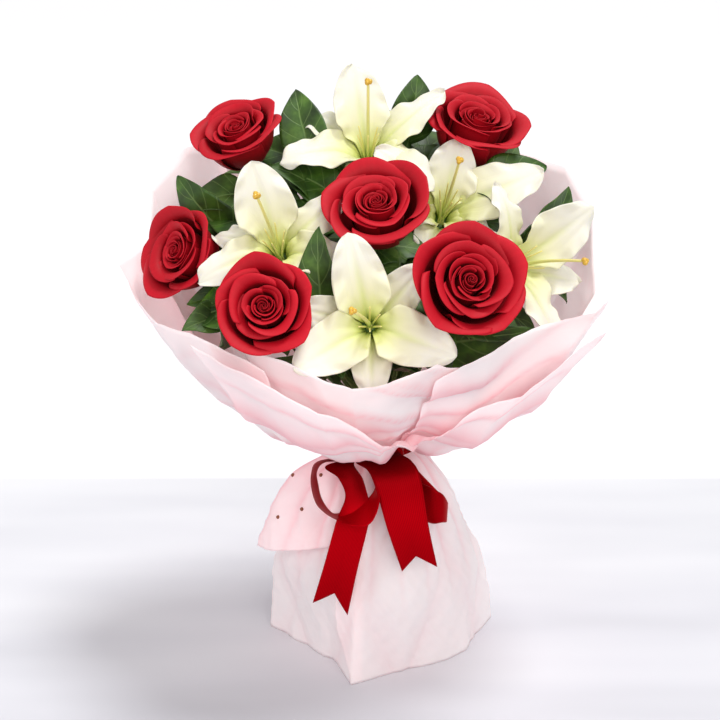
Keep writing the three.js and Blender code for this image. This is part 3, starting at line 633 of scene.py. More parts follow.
@dataclass(frozen=True)
class WrapPaperFinish:
    """Florist's wrapping paper: soft, thin and a little see-through. It gives the eye a very pale pink
    with a faint fibre; a deeper pink is painted into its folds as shade, and a faint pink glow is painted
    over all of it."""

    name: str = "florist wrapping paper, pale pink"
    # light is the paper's own pink; middle and fold are the deeper pinks of painted shade in its folds
    light: str = "#fff0f1"
    middle: str = "#fad4d8"
    fold: str = "#eda6af"
    through: str = "#ffccd2"  # painted glow: an emitted pink that stands in for the light that comes through the thin sheet from behind
    painted_glow_strength: float = 0.09
    fibre_size: float = 2.381  # millimetres; real fibre is ten times as fine and would not show
    fibre_depth: float = 0.06
    cloud_size: float = 111.1  # millimetres
    cloudiness: float = 0.3

    def material(self) -> Material:
        """Builds the finish: painted shade, a deeper pink by the tone of the folds, with faint clouds, a
        fine fibre and a faint painted glow.

        Returns:
            The material.
        """
        recipe = Recipe(
            self.name, Roughness=0.62, Specular_IOR_Level=0.2, Subsurface_Weight=0.3,
            Subsurface_Radius=(0.012, 0.004, 0.004), Subsurface_Scale=1.0,
            Emission_Color=linear(self.through), Emission_Strength=self.painted_glow_strength,
        )
        place = recipe.add("TexCoord", {}, "Object")
        tone = recipe.add("Attribute", {}, "Fac", attribute_name="tone")
        clouds = {"Vector": place, "Scale": cells(self.cloud_size)}
        clouds = recipe.add("TexNoise", clouds, "Fac")
        depth = recipe.add("Math", {0: clouds, 1: self.cloudiness, 2: tone}, operation="MULTIPLY_ADD")
        # Painted shade: the deeper the tone, the pinker the paper; the tone is how deep it lies in the
        # folds
        stops = ((0.16, self.light), (0.52, self.middle), (1.0, self.fold))
        colour = recipe.add("ValToRGB", {0: depth}, stops=stops)
        fibre = {"Vector": place, "Scale": cells(self.fibre_size), "Detail": 3.0}
        fibre = recipe.add("TexNoise", fibre, "Fac")
        return recipe.finished(colour, fibre, self.fibre_depth, 0.4)


@dataclass(frozen=True)
class SatinFinish:
    """Satin ribbon: polyester threads that float over the weave, so that light runs along them.
    It gives the eye a bright red sheen, with a painted shade of dark red where the tone is deep."""

    name: str = "satin ribbon, woven polyester"
    face: str = "#b8000e"
    deep: str = "#96000a"
    # fold: the dark red of painted shade, mixed in by the tone
    fold: str = "#4a0003"
    width: float = 30.0
    rib_gap: float = 1.25  # millimetres; real ribs lie 0.1 mm apart and would not show
    rib_depth: float = 0.05

    def material(self) -> Material:
        """Builds the finish: fine ribs along the ribbon, the stretched gloss of satin, and by the tone a
        painted shade of darker red.

        Returns:
            The material.
        """
        recipe = Recipe(
            self.name, Roughness=0.36, Anisotropic=0.5, Specular_IOR_Level=0.1,
            Specular_Tint=linear("#ff5a5a"), Metallic=0.3,
        )
        uv = recipe.add("UVMap", {}, uv_map="surface")
        tone = recipe.add("Attribute", {}, "Fac", attribute_name="tone")
        # A wave texture repeats after pi / 10 of its scaled vector
        threads = {"Vector": uv, "Scale": self.width / self.rib_gap * math.pi / 10}
        threads = recipe.add("TexWave", threads, "Fac", bands_direction="X")
        stops = ((0.0, self.deep), (0.5, self.face))
        colour = recipe.add("ValToRGB", {0: threads}, stops=stops)
        # Painted shade: the tone mixes in the dark red
        blend = {0: tone, 6: colour, 7: linear(self.fold)}
        colour = recipe.add("Mix", blend, 2, data_type="RGBA")
        return recipe.finished(colour, threads, self.rib_depth, 0.3)


@dataclass(frozen=True)
class TwineFinish:
    """Jute twine: rough plant fibre. It gives the eye a dry straw brown with twisted strands."""

    name: str = "jute twine"
    light: str = "#c9ab78"
    dark: str = "#7d6034"
    strand_size: float = 1.111  # millimetres
    strand_depth: float = 0.4

    def material(self) -> Material:
        """Builds the finish: a mottle of strands.

        Returns:
            The material.
        """
        recipe = Recipe(self.name, Roughness=0.9)
        place = recipe.add("TexCoord", {}, "Object")
        strands = {"Vector": place, "Scale": cells(self.strand_size), "Detail": 3.0}
        strands = recipe.add("TexNoise", strands, "Fac")
        stops = ((0.3, self.dark), (0.7, self.light))
        colour = recipe.add("ValToRGB", {0: strands}, stops=stops)
        return recipe.finished(colour, strands, self.strand_depth, 0.6)


@dataclass(frozen=True)
class WaterBagFinish:
    """Clear film bag full of water. It gives the eye a clear, glossy and slightly blue body."""

    name: str = "clear film bag with water"
    tint: str = "#dcebf0"
    crease: str = "#cfe3ea"
    wrinkle_size: float = 16.67  # millimetres
    wrinkle_depth: float = 0.6

    def material(self) -> Material:
        """Builds the finish: clear water under a film with fine wrinkles.

        Returns:
            The material.
        """
        recipe = Recipe(self.name, Roughness=0.06, IOR=1.33, Transmission_Weight=0.9)
        place = recipe.add("TexCoord", {}, "Object")
        wrinkles = {"Vector": place, "Scale": cells(self.wrinkle_size)}
        wrinkles = recipe.add("TexNoise", wrinkles, "Fac")
        stops = ((0.35, self.crease), (0.6, self.tint))
        colour = recipe.add("ValToRGB", {0: wrinkles}, stops=stops)
        return recipe.finished(colour, wrinkles, self.wrinkle_depth, 0.4)


@dataclass(frozen=True)
class StudFinish:
    """Copper-plated steel, stamped into small domes. It gives the eye a warm reddish glint."""

    name: str = "copper-plated steel studs"
    metal: str = "#9a6550"
    dull: str = "#875444"
    pit_size: float = 0.6667  # millimetres; real ones are a tenth of that and would not show
    pit_depth: float = 0.02

    def material(self) -> Material:
        """Builds the finish: polished warm metal, a little uneven.

        Returns:
            The material.
        """
        recipe = Recipe(self.name, Metallic=1.0, Roughness=0.3)
        place = recipe.add("TexCoord", {}, "Object")
        pits = recipe.add("TexNoise", {"Vector": place, "Scale": cells(self.pit_size)}, "Fac")
        stops = ((0.35, self.dull), (0.65, self.metal))
        colour = recipe.add("ValToRGB", {0: pits}, stops=stops)
        return recipe.finished(colour, pits, self.pit_depth, 0.3)


@dataclass(frozen=True)
class FloorFinish:
    """Pale studio table: matte, light grey, with soft clouds and a painted shade that makes it a little
    darker at its near end, and white paper behind it."""

    name: str = "pale studio floor"
    near: str = "#b4b5bb"
    table: str = "#cccdd3"
    cloud: str = "#dcdde1"
    backdrop: str = "#f1f0f4"
    far_edge: float = 0.33
    edge_width: float = 0.012
    painted_brightening: float = 0.9  # painted light: the table grows lighter for each metre away from the camera
    cloud_size: float = 555.6  # millimetres from side to side
    cloud_stretch: float = 4.5

    def material(self) -> Material:
        """Builds the finish: a pale grey table whose far end runs out into white paper.

        Returns:
            The material.
        """
        recipe = Recipe(self.name, Roughness=0.7, Specular_IOR_Level=0.2)
        place = recipe.add("TexCoord", {}, "Object")
        depth = recipe.add("SeparateXYZ", {0: place}, "Y")
        beyond = {0: depth, 1: self.far_edge, 2: self.far_edge + self.edge_width}
        beyond = recipe.add("MapRange", beyond, interpolation_type="SMOOTHSTEP")
        long = recipe.add("Mapping", {"Vector": place, "Scale": (1.0, self.cloud_stretch, 1.0)})
        clouds = {"Vector": long, "Scale": cells(self.cloud_size)}
        clouds = recipe.add("TexNoise", clouds, "Fac")
        # Painted shade at the near end: the ramp runs from dark near the camera to light far from it
        along = {0: depth, 1: self.painted_brightening, 2: clouds}
        along = recipe.add("Math", along, operation="MULTIPLY_ADD")
        stops = ((0.05, self.near), (0.45, self.table), (0.85, self.cloud))
        table = recipe.add("ValToRGB", {0: along}, stops=stops)
        blend = {0: beyond, 6: table, 7: linear(self.backdrop)}
        colour = recipe.add("Mix", blend, 2, data_type="RGBA")
        return recipe.finished(colour)


# --- The bundle of stems ---


@dataclass(frozen=True)
class Slot:
    """A place in the tied bundle: which ring round its centre, and the turn on it in degrees."""

    ring: int
    turn: float

    def point(self, height: float) -> np.ndarray:
        """Where a stem in this place passes a height: straight, slanted round the bundle's axis.

        Args:
            height: level above the floor, in millimetres.

        Returns:
            The point, in layout millimetres.
        """
        slant = (height - TIE_HEIGHT) / SPIRAL_WAIST
        cosine, sine = math.cos(math.radians(self.turn)), math.sin(math.radians(self.turn))
        radius = self.ring * SLOT_PITCH
        return np.array([
            TIE_X + radius * (cosine - slant * sine), TIE_Y + radius * (sine + slant * cosine), height
        ])


def assign_slots(tops: list[np.ndarray]) -> list[Slot]:
    """Gives each stem the place in the bundle that lies on its own side.

    The stem whose top is nearest to the middle takes the centre, the next six the inner ring and
    the rest the outer ring, each ring in the order of the tops' turns round the bundle.

    Args:
        tops: the stems' tops, in layout millimetres.

    Returns:
        One place for each stem, in the same order.
    """
    aims = [(math.hypot(x - TIE_X, y - TIE_Y), math.degrees(math.atan2(y - TIE_Y, x - TIE_X)), k)
            for k, (x, y, _) in enumerate(tops)]
    aims.sort()
    slots = {aims[0][2]: Slot(0, 0.0)}
    for ring, group in ((1, aims[1:7]), (2, aims[7:])):
        group = sorted(group, key=lambda aim: aim[1])
        step = 360 / (6 * ring)
        start = sum(aim[1] - k * step for k, aim in enumerate(group)) / len(group)
        slots.update({aim[2]: Slot(ring, start + k * step) for k, aim in enumerate(group)})
    return [slots[k] for k in range(len(tops))]


def stem_route(slot: Slot, top: np.ndarray, leaving: np.ndarray, count: int) -> np.ndarray:
    """The line of a stem: straight from the water through the tie, then bending to its top.

    The bend is the cubic with weights (1-t)³, 3t(1-t)², 3t²(1-t) and t³ for the tie, a point
    above it, a point behind the top, and the top.

    Args:
        slot: its place in the bundle.
        top: where it ends.
        leaving: the direction in which it reaches its top.
        count: points along the bend.

    Returns:
        The points, one a row.
    """
    a, b = slot.point(TIE_HEIGHT + 8), slot.point(TIE_HEIGHT + 55)
    c = top - STEM_APPROACH * leaving
    t = np.linspace(0, 1, count)[:, None]
    bend = (1 - t) ** 3 * a + 3 * t * (1 - t) ** 2 * b + 3 * t**2 * (1 - t) * c + t**3 * top
    return np.vstack([slot.point(STEM_FOOT), slot.point(0.5 * TIE_HEIGHT), bend])


# --- Roses ---


@dataclass(frozen=True)
class PetalRing:
    """One ring of rose petals: how many, how far out the wall stands and how much it leans, the
    lip's height, the half width, and the radius and bend in degrees of the rolled lip."""

    count: int
    reach: float
    lean: float
    rim: float
    half: float
    roll: float
    bend: float


@dataclass
class Rose:
    """A rose by its heart, the way its face points, the turn of its petals and its size.

    Of the pairs, the first is for a petal of the rolled heart and the second for an outside one:
    foot height, where its lip starts, the point's length, the height of its ruffles, how far one
    side lies further out than the other, and how far it may wrap round, in degrees.
    """

    number: int
    heart: Vector3
    elevation: float
    azimuth: float
    spin: float
    scale: float
    height: float = 46.0
    golden_turn: float = 137.5
    across: int = 30
    along: int = 36
    sepal_length: float = 30.0
    sepal_half: float = 5.5
    feet: tuple[float, float] = (16.0, 0.0)
    lips: tuple[float, float] = (0.94, 0.66)
    points: tuple[float, float] = (0.0, 5.0)
    ruffles: tuple[float, float] = (0.05, 1.1)
    spirals: tuple[float, float] = (1.2, 2.6)
    wraps: tuple[float, float] = (165.0, 72.0)
    core: float = 2.0
    hip_levels: tuple[float, float] = (-17.0, -5.6)
    hip_neck: float = 2.8
    hip_swell: float = 3.9
    stem_drop: float = 12.0
    stem_radius: float = 2.7
    node_swell: float = 0.35
    petal_wall: float = 0.45
    sepal_wall: float = 0.6
    rings: tuple[PetalRing, ...] = (
        PetalRing(2, 2.4, -0.30, 44.0, 10.0, 2.5, 15.0),
        PetalRing(3, 5.4, -0.25, 45.0, 14.0, 3.0, 28.0),
        PetalRing(3, 9.0, -0.14, 45.5, 19.0, 3.5, 42.0),
        PetalRing(4, 13.4, -0.04, 44.5, 24.0, 5.0, 66.0),
        PetalRing(4, 19.0, 0.06, 42.0, 31.0, 7.5, 92.0),
        PetalRing(5, 25.0, 0.26, 37.0, 37.0, 9.5, 104.0),
    )

    def __post_init__(self) -> None:
        """Works out the bloom's frame, whose origin is the top of the hip."""
        self.facing = Facing.towards(self.heart, self.elevation, self.azimuth, self.height * self.scale)

    def petal(self, ring: PetalRing, depth: float, turn: float, rng: np.random.Generator) -> Patch:
        """One petal, from the rolled heart (depth 0) to the open outside (depth 1).

        Its distance from the axis rises as a sine from the core to its own wall and then leans
        in or out; its height rises evenly to the lip. The lip bends outwards along an arc, which
        is tighter and goes further at the sides; the middle is drawn out to the soft point of a
        rose petal. Across, the petal wraps round the axis, and one side lies further out than
        the other, so that the petals overlap like a spiral.

        Args:
            ring: the ring that it belongs to.
            depth: the ring's place, from 0 to 1.
            turn: its direction round the axis, in degrees.
            rng: the seeded source of small differences.

        Returns:
            The petal's surface.
        """
        size = self.scale * (1 + rng.uniform(-0.05, 0.05))
        s, t = grid(self.across, self.along)
        t = t * (1 - mix(0.03, 0.11, depth) * np.abs(s) ** 2.6)
        foot = size * mix(*self.feet, depth**0.5)
        lip_at = mix(*self.lips, depth**0.8)
        rim = size * ring.rim + rng.uniform(-1.5, 1.5)
        climb = np.clip(t / lip_at, 0, 1)
        wall = mix(self.core, size * ring.reach, np.sin(0.5 * math.pi * np.clip(climb / 0.62, 0, 1)))
        wall = wall * (1 + ring.lean * smooth(climb, 0.4, 1))
        curl = np.clip((t - lip_at) / (1 - lip_at), 0, 1)
        bend = np.radians(ring.bend) * (0.78 + 0.6 * np.abs(s) ** 1.6) * curl
        bend = bend * (1 + rng.uniform(-0.3, 0.3) * s) * rng.uniform(0.85, 1.15)
        roll = size * ring.roll * (1 - 0.45 * np.abs(s) ** 1.6)
        radial = wall + roll * (1 - np.cos(bend))
        point = size * mix(*self.points, depth**1.5) * (1 - np.minimum(np.abs(s) / 0.7, 1)) ** 1.3
        radial = radial + point * curl**1.5
        height = foot + (rim - foot) * climb**1.2 + roll * np.sin(bend)
        middle = mix(wall, radial, 0.4)[:, self.across // 2, None]
        half = size * ring.half * mix(0.5, 1.0, smooth(t, 0, 0.45))
        wrap = np.minimum(half / np.maximum(middle, 2.5), math.radians(mix(*self.wraps, depth**0.5)))
        phase = rng.uniform(0, 2)
        ruffle = size * mix(*self.ruffles, depth) * smooth(t, 0.5, 1)
        radial = radial + ruffle * np.sin(math.pi * (1.5 * s + phase))
        radial = radial + size * mix(*self.spirals, depth) * s * smooth(t, 0.1, 0.5)
        height = height + 1.3 * ruffle * np.cos(math.pi * (1.3 * s + phase)) - 1.2 * depth * s
        # Painted shade: the inner petals get a darker tone, on top of a random difference from petal to
        # petal
        tone = 0.2 * rng.uniform(0, 1) + 0.3 * (1 - depth) ** 2
        return Patch(self.facing.place(radial, math.radians(turn) + s * wrap, height), tone=float(tone))

    def build_bloom(self, finish: Material) -> None:
        """Builds all petals as one piece that stands for the solid bloom.

        Args:
            finish: the petals' finish.
        """
        rng = np.random.default_rng(SEED + self.number)
        patches = []
        for row, ring in enumerate(self.rings):
            for k in range(ring.count):
                turn = self.spin + self.golden_turn * row + 360 * k / ring.count + rng.uniform(-9, 9)
                patches.append(self.petal(ring, row / (len(self.rings) - 1), turn, rng))
        piece = build_piece(f"rose_{self.number}_petals", patches, [finish], self.petal_wall)
        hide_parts(f"rose_{self.number}_bloom")

    def sepal(self, index: int) -> Patch:
        """A narrow pointed sepal: its half width falls to a point, and it arches down.

        Args:
            index: its place round the hip, from 0 to 4.

        Returns:
            The sepal's surface.
        """
        s, t = grid(4, 12)
        turn = math.radians(self.spin + 36 + 72 * index)
        half = self.sepal_half * (1 - t) ** 0.8 * mix(0.8, 1.0, smooth(t, 0, 0.2)) + 0.2
        radius = 4 + self.sepal_length * self.scale * t
        height = -8.6 - 3.2 * t**2 + 1.6 * np.sin(math.pi * t) - 0.06 * (s * half) ** 2
        offset = np.arctan2(s * half, radius)
        return Patch(self.facing.place(np.hypot(radius, s * half), turn + offset, height))

    def build_stem(self, slot: Slot, finish: Material) -> None:
        """Builds the stem with its hip and five sepals.

        Args:
            slot: its place in the bundle.
            finish: the finish of all the green.
        """
        top = self.facing.origin - self.stem_drop * self.facing.out
        route = stem_route(slot, top, self.facing.out, 26)
        nodes = np.exp(-((np.linspace(0, 9, len(route)) % 3 - 1.5) / 0.25) ** 2)
        radius = self.stem_radius + self.node_swell * nodes
        level = np.linspace(*self.hip_levels, 12)
        swell = np.sin(0.5 * math.pi * np.clip((level - self.hip_levels[0]) / 8, 0, 1))
        bulge = self.hip_neck + self.hip_swell * swell
        hip = tube(self.facing.origin + level[:, None] * self.facing.out, bulge, 14)
        solid = build_piece(f"rose_{self.number}_green", [tube(route, radius, 12), hip], [finish])
        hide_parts(f"rose_{self.number}_stem")
        sepals = [self.sepal(k) for k in range(5)]
        sepals = build_piece(f"rose_{self.number}_sepals", sepals, [finish], self.sepal_wall)


# --- Lilies ---


class Whorl(Enum):
    """The two whorls of a lily: the outer three petals lie behind the inner three."""

    INNER = "inner"
    OUTER = "outer"


@dataclass(frozen=True)
class LilyPetal:
    """Turn round the axis, length, width, opening by half length and roll back of the end."""

    turn: float
    length: float
    width: float
    opening: float
    roll: float


def near_turn(turn: float) -> float:
    """The same turn, between -180 and 180 degrees."""
    return (turn + 180) % 360 - 180


@dataclass
class Lily:
    """A lily by its throat, the way it faces, where its style leans and its six petals.

    Pairs of radii and spreads are for the foot and the top.
    """

    number: int
    throat: Vector3
    elevation: float
    azimuth: float
    style: tuple[float, float]
    first_inner: int
    petals: list[LilyPetal]
    tube_depth: float = 40.0
    tube_radius: float = 5.0
    pistil_length: float = 92.0
    filament_length: float = 55.0
    first_lean: float = 8.0
    wave_height: float = 3.2
    groove_depth: float = 1.3
    ovary_length: float = 16.0
    ovary_radius: float = 3.2
    style_radii: tuple[float, float] = (1.7, 1.2)
    lobe_radius: float = 2.3
    lobe_half: float = 2.6
    lobe_offset: float = 1.5
    filament_radii: tuple[float, float] = (1.0, 0.55)
    filament_spreads: tuple[float, float] = (1.6, 10.0)
    seat_radii: tuple[float, float] = (2.8, 8.2)
    ring_radii: tuple[float, ...] = (7.8, 8.6, 8.7, 8.5, 7.9)
    stem_drop: float = 8.0
    stem_radius: float = 2.7
    petal_wall: float = 0.7
    across: int = 26
    along: int = 48

    def __post_init__(self) -> None:
        """Works out the bloom's frame, whose origin is the foot of its tube."""
        self.facing = Facing.towards(self.throat, self.elevation, self.azimuth, self.tube_depth)

    def petal(self, spec: LilyPetal, root: float, whorl: Whorl, rng: np.random.Generator) -> Patch:
        """One petal, bent round the axis of the bloom.

        The angle of its midline to the axis is the first lean, plus the opening by half length,
        plus the roll times t³; radius and height are the running sums of that angle's sine and
        cosine. The half width grows from the tube, is widest past the middle and ends in a
        point. Across, an inner petal is hollow and an outer one lies behind it; a groove runs
        along the midrib, and the edges are waved.

        Args:
            spec: the petal.
            root: its turn where it leaves the tube.
            whorl: the inner or the outer three.
            rng: the seeded source of small differences.

        Returns:
            The petal's surface.
        """
        s, t = grid(self.across, self.along)
        line = t[:, 0]
        lean = np.radians(self.first_lean + spec.opening * smooth(line, 0, 0.55) + spec.roll * line**3)
        step = spec.length / self.along
        between = (lean[1:] + lean[:-1]) / 2
        radius = self.tube_radius + np.concatenate([[0], np.cumsum(np.sin(between)) * step])
        height = 0.4 + np.concatenate([[0], np.cumsum(np.cos(between)) * step])
        radius, height, lean = radius[:, None], height[:, None], lean[:, None]
        turn = np.radians(mix(root, spec.turn, smooth(t, 0.05, 0.5)))
        taper = mix(0.2, 1.0, smooth(t, 0, 0.5)) * np.maximum(1 - t**3.2, 0) ** 0.62
        half = 0.5 * spec.width * taper + 0.25
        if whorl is Whorl.INNER:
            cup = mix(0.2, -0.12, t) * s**2 * half
        else:
            cup = -mix(2.4, 4.2, smooth(t, 0, 0.5)) - 0.05 * s**2 * half
        phase = rng.uniform(0, 2, 2)
        side = np.where(s > 0, phase[0], phase[1])
        wave = np.sin(math.pi * (5.6 * t + side)) + 0.4 * np.sin(math.pi * (12.4 * t + 2 * side))
        wave = self.wave_height * wave * smooth(np.abs(s), 0.35, 1) * smooth(t, 0.15, 0.45)
        groove = -self.groove_depth * np.exp(-((s / 0.08) ** 2))
        groove += 0.7 * np.exp(-(((np.abs(s) - 0.24) / 0.1) ** 2))
        groove += 0.35 * np.exp(-(((np.abs(s) - 0.62) / 0.08) ** 2))
        lift = cup + wave + groove * (1 - t**2)
        reach = radius - lift * np.cos(lean)
        aside = s * np.minimum(half / reach, np.radians(mix(30, 55, smooth(t, 0, 0.2))))
        points = self.facing.place(reach, turn + aside, height + lift * np.sin(lean))
        return Patch(points, tone=float(rng.uniform(0, 1)))

    def build_bloom(self, finish: Material) -> None:
        """Builds the six petals as one piece that stands for the solid bloom.

        Args:
            finish: the petals' finish.
        """
        rng = np.random.default_rng(SEED * self.number)
        first = self.petals[0].turn
        direction = math.copysign(1, near_turn(self.petals[1].turn - first))
        patches = []
        for k, spec in enumerate(self.petals):
            root = first + direction * 60 * k
            nearest = replace(spec, turn=root + near_turn(spec.turn - root))
            whorl = Whorl.INNER if k % 2 == self.first_inner else Whorl.OUTER
            patches.append(self.petal(nearest, root, whorl, rng))
        piece = build_piece(f"lily_{self.number}_petals", patches, [finish], self.petal_wall)
        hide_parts(f"lily_{self.number}_bloom")

    def at(self, x: Values, y: Values, z: Values) -> np.ndarray:
        """Points given along the bloom's own directions.

        Args:
            x: distance to its right.
            y: distance up its face.
            z: distance out along its axis.

        Returns:
            The points, in layout millimetres.
        """
        f = self.facing
        x, y, z = (np.asarray(value, float)[..., None] for value in np.broadcast_arrays(x, y, z))
        return f.origin + x * f.right + y * f.up + z * f.out

    def build_pistil(self, style: Material, stigma: Material) -> None:
        """Builds ovary, style, three-lobed stigma and the six bare filaments.

        The style leaves the ovary straight and leans to its side by the square of its length;
        the filaments spread round it, every second one a millimetre further.

        Args:
            style: the finish of style and filaments.
            stigma: the finish of its tip.
        """
        aside, raised = self.style
        t = np.linspace(0, 1, 24)
        line = self.at(aside * t**2, raised * t**2, 10 + (self.pistil_length - 10) * t)
        ovary = self.at(0, 0, np.linspace(-0.6, self.ovary_length, 10))
        patches = [
            tube(ovary, self.ovary_radius - 1.2 * np.linspace(0, 1, 10) ** 2, 12),
            tube(line, mix(*self.style_radii, t), 10),
        ]
        ball = np.linspace(-1, 1, 10)
        axis = unit(line[-1] - line[-3])
        lobe = self.lobe_radius * np.sqrt(np.maximum(1 - ball**2, 0.002))
        for k in range(3):
            turn = 2 * math.pi * k / 3
            aside = math.cos(turn) * self.facing.right + math.sin(turn) * self.facing.up
            middle = line[-1] + self.lobe_offset * aside
            patches.append(tube(middle + self.lobe_half * ball[:, None] * axis, lobe, 10, finish=1))
        for k in range(6):
            turn = math.radians(60 * k + 30)
            spread = mix(self.filament_spreads[0], self.filament_spreads[1] + k % 2, t[::2] ** 1.3)
            length = self.filament_length * (0.94 + 0.03 * ((2 * k) % 3))
            path = self.at(spread * math.cos(turn), spread * math.sin(turn), mix(8, length, t[::2]))
            patches.append(tube(path, mix(*self.filament_radii, t[::2]), 8))
        piece = build_piece(f"lily_{self.number}_style", patches, [style, stigma])
        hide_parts(f"lily_{self.number}_pistil")

    def build_stem(self, slot: Slot, finish: Material) -> None:
        """Builds the stem and the swollen seat that carries the petals.

        Args:
            slot: its place in the bundle.
            finish: its finish.
        """
        f = self.facing
        route = stem_route(slot, f.origin - self.stem_drop * f.out, f.out, 26)
        level = np.linspace(-14, -0.9, 10)
        seat = tube(f.origin + level[:, None] * f.out, mix(*self.seat_radii, smooth(level, -13, -1)), 14)
        level = np.linspace(-1.2, 4.6, len(self.ring_radii))
        ring = tube(f.origin + level[:, None] * f.out, self.ring_radii, 18)
        patches = [tube(route, self.stem_radius, 12), seat, ring]
        piece = build_piece(f"lily_{self.number}_green", patches, [finish])
        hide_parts(f"lily_{self.number}_stem")


# --- Leaves ---


@dataclass(frozen=True)
class Leaf:
    """A leaf by its tip, its width and where on the stem it starts, from 0 to 1."""

    tip: Vector3
    width: float
    at: float


# A leaf's arch, as a share of its length, how steeply its halves rise from the midrib, and the
# height of its waves in millimetres
LEAF_ARCH, LEAF_FOLD, LEAF_WAVE = 0.14, 0.2, 1.6


def leaf_blade(
    base: np.ndarray, tip: np.ndarray, width: float, outward: np.ndarray, rng: np.random.Generator
) -> Patch:
    """A pointed leaf from base to tip.

    The half width is a sine of a power of t; the blade arches by 4t(1 - t), folds up from its
    midrib in proportion to the distance, and its edges are waved. It is bent together with the
    paper, so that it stays inside it.

    Args:
        base: where its stalk ends.
        tip: its point.
        width: its widest part, in millimetres.
        outward: the way its upper face looks.
        rng: the seeded source of small differences.

    Returns:
        The leaf's surface.
    """
    along = tip - base
    length = np.linalg.norm(along)
    side = unit(np.cross(along, outward))
    face = unit(np.cross(side, along))
    s, t = grid(16, 34)
    half = 0.5 * width * np.sin(math.pi * t**0.85) ** 0.8 * smooth(t, -0.1, 0.12) + mix(1.5, 0.15, t)
    wave = np.sin(math.pi * (3.4 * t + rng.uniform(0, 2) + 0.6 * np.sign(s)))
    lift = LEAF_ARCH * length * 4 * t * (1 - t) + LEAF_FOLD * np.abs(s) * half
    lift += LEAF_WAVE * s**2 * wave * smooth(t, 0.1, 0.4)
    points = base + t[..., None] * along + lift[..., None] * face + (s * half)[..., None] * side
    return Patch(FOLDS.bend(points)[0], tone=float(rng.uniform(0, 1)))


@dataclass
class LeafStem:
    """A stem with broad leaves, by its top and its leaves.

    The leaves start on the line with few bend points, as the solid's do, and front_turn turns
    their faces a little to the front.
    """

    number: int
    top: Vector3
    leaves: list[Leaf]
    stem_radius: float = 2.3
    bend_points: int = 4
    front_turn: Vector3 = (0.0, -0.8, 0.2)
    seed: int = SEED + 40

    def route(self, slot: Slot, count: int) -> np.ndarray:
        """The stem's line.

        Args:
            slot: its place in the bundle.
            count: points along its bend.

        Returns:
            The points, one a row.
        """
        top = np.array(self.top, float)
        away = unit(top - [TIE_X, TIE_Y, 300.0])
        return stem_route(slot, top, away, count)

    def leaf(self, base: np.ndarray, spec: Leaf, rng: np.random.Generator) -> Patch:
        """A leaf whose face is turned out of the bunch and to the front.

        Args:
            base: where it starts on the stem.
            spec: the leaf.
            rng: the seeded source of small differences.

        Returns:
            The leaf's surface.
        """
        tip = np.array(spec.tip, float)
        outward = unit((base + tip) / 2 - [TIE_X, TIE_Y, 330.0]) + np.array(self.front_turn)
        return leaf_blade(base, tip, spec.width, outward, rng)

    def build(self, slot: Slot, leaf_finish: Material, stem_finish: Material) -> None:
        """Builds the leaves as one piece and the bare stem as another.

        Args:
            slot: its place in the bundle.
            leaf_finish: the leaves' finish.
            stem_finish: the bare stem's finish.
        """
        rng = np.random.default_rng(self.seed + self.number)
        coarse = np.delete(self.route(slot, self.bend_points), 1, axis=0)
        lengths = np.concatenate([[0], np.cumsum(np.linalg.norm(np.diff(coarse, axis=0), axis=1))])
        patches = []
        for spec in self.leaves:
            place = (spec.at - 0.012) * lengths[-1]
            base = np.array([np.interp(place, lengths, coarse[:, axis]) for axis in range(3)])
            patches.append(self.leaf(base, spec, rng))
        piece = build_piece(f"leaves_{self.number}", patches, [leaf_finish], LEAF_WALL)
        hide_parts(f"leaf_stem_{self.number}")
        twig = tube(self.route(slot, 24), self.stem_radius, 10)
        build_piece(f"leaf_twig_{self.number}", [twig], [stem_finish])


@dataclass(frozen=True)
class Clearance:
    """The space behind a bloom that leaves keep out of: a cone that opens with its petals.

    It starts back millimetres behind the bloom's origin, opens by slope beyond the distance free
    from the axis, and ends at the distance limit.
    """

    facing: Facing
    back: float
    free: float
    slope: float
    limit: float

    def keep(self, centre: np.ndarray) -> np.ndarray:
        """Moves a leaf's middle back along the bloom's axis where it would cover the bloom.

        Args:
            centre: the leaf's middle.

        Returns:
            The middle where it may lie.
        """
        ahead = float(np.dot(centre - self.facing.origin, self.facing.out))
        aside = float(np.linalg.norm(centre - self.facing.origin - ahead * self.facing.out))
        allowed = self.slope * max(aside - self.free, 0.0) - self.back
        return centre - max(ahead - allowed, 0.0) * (aside < self.limit) * self.facing.out


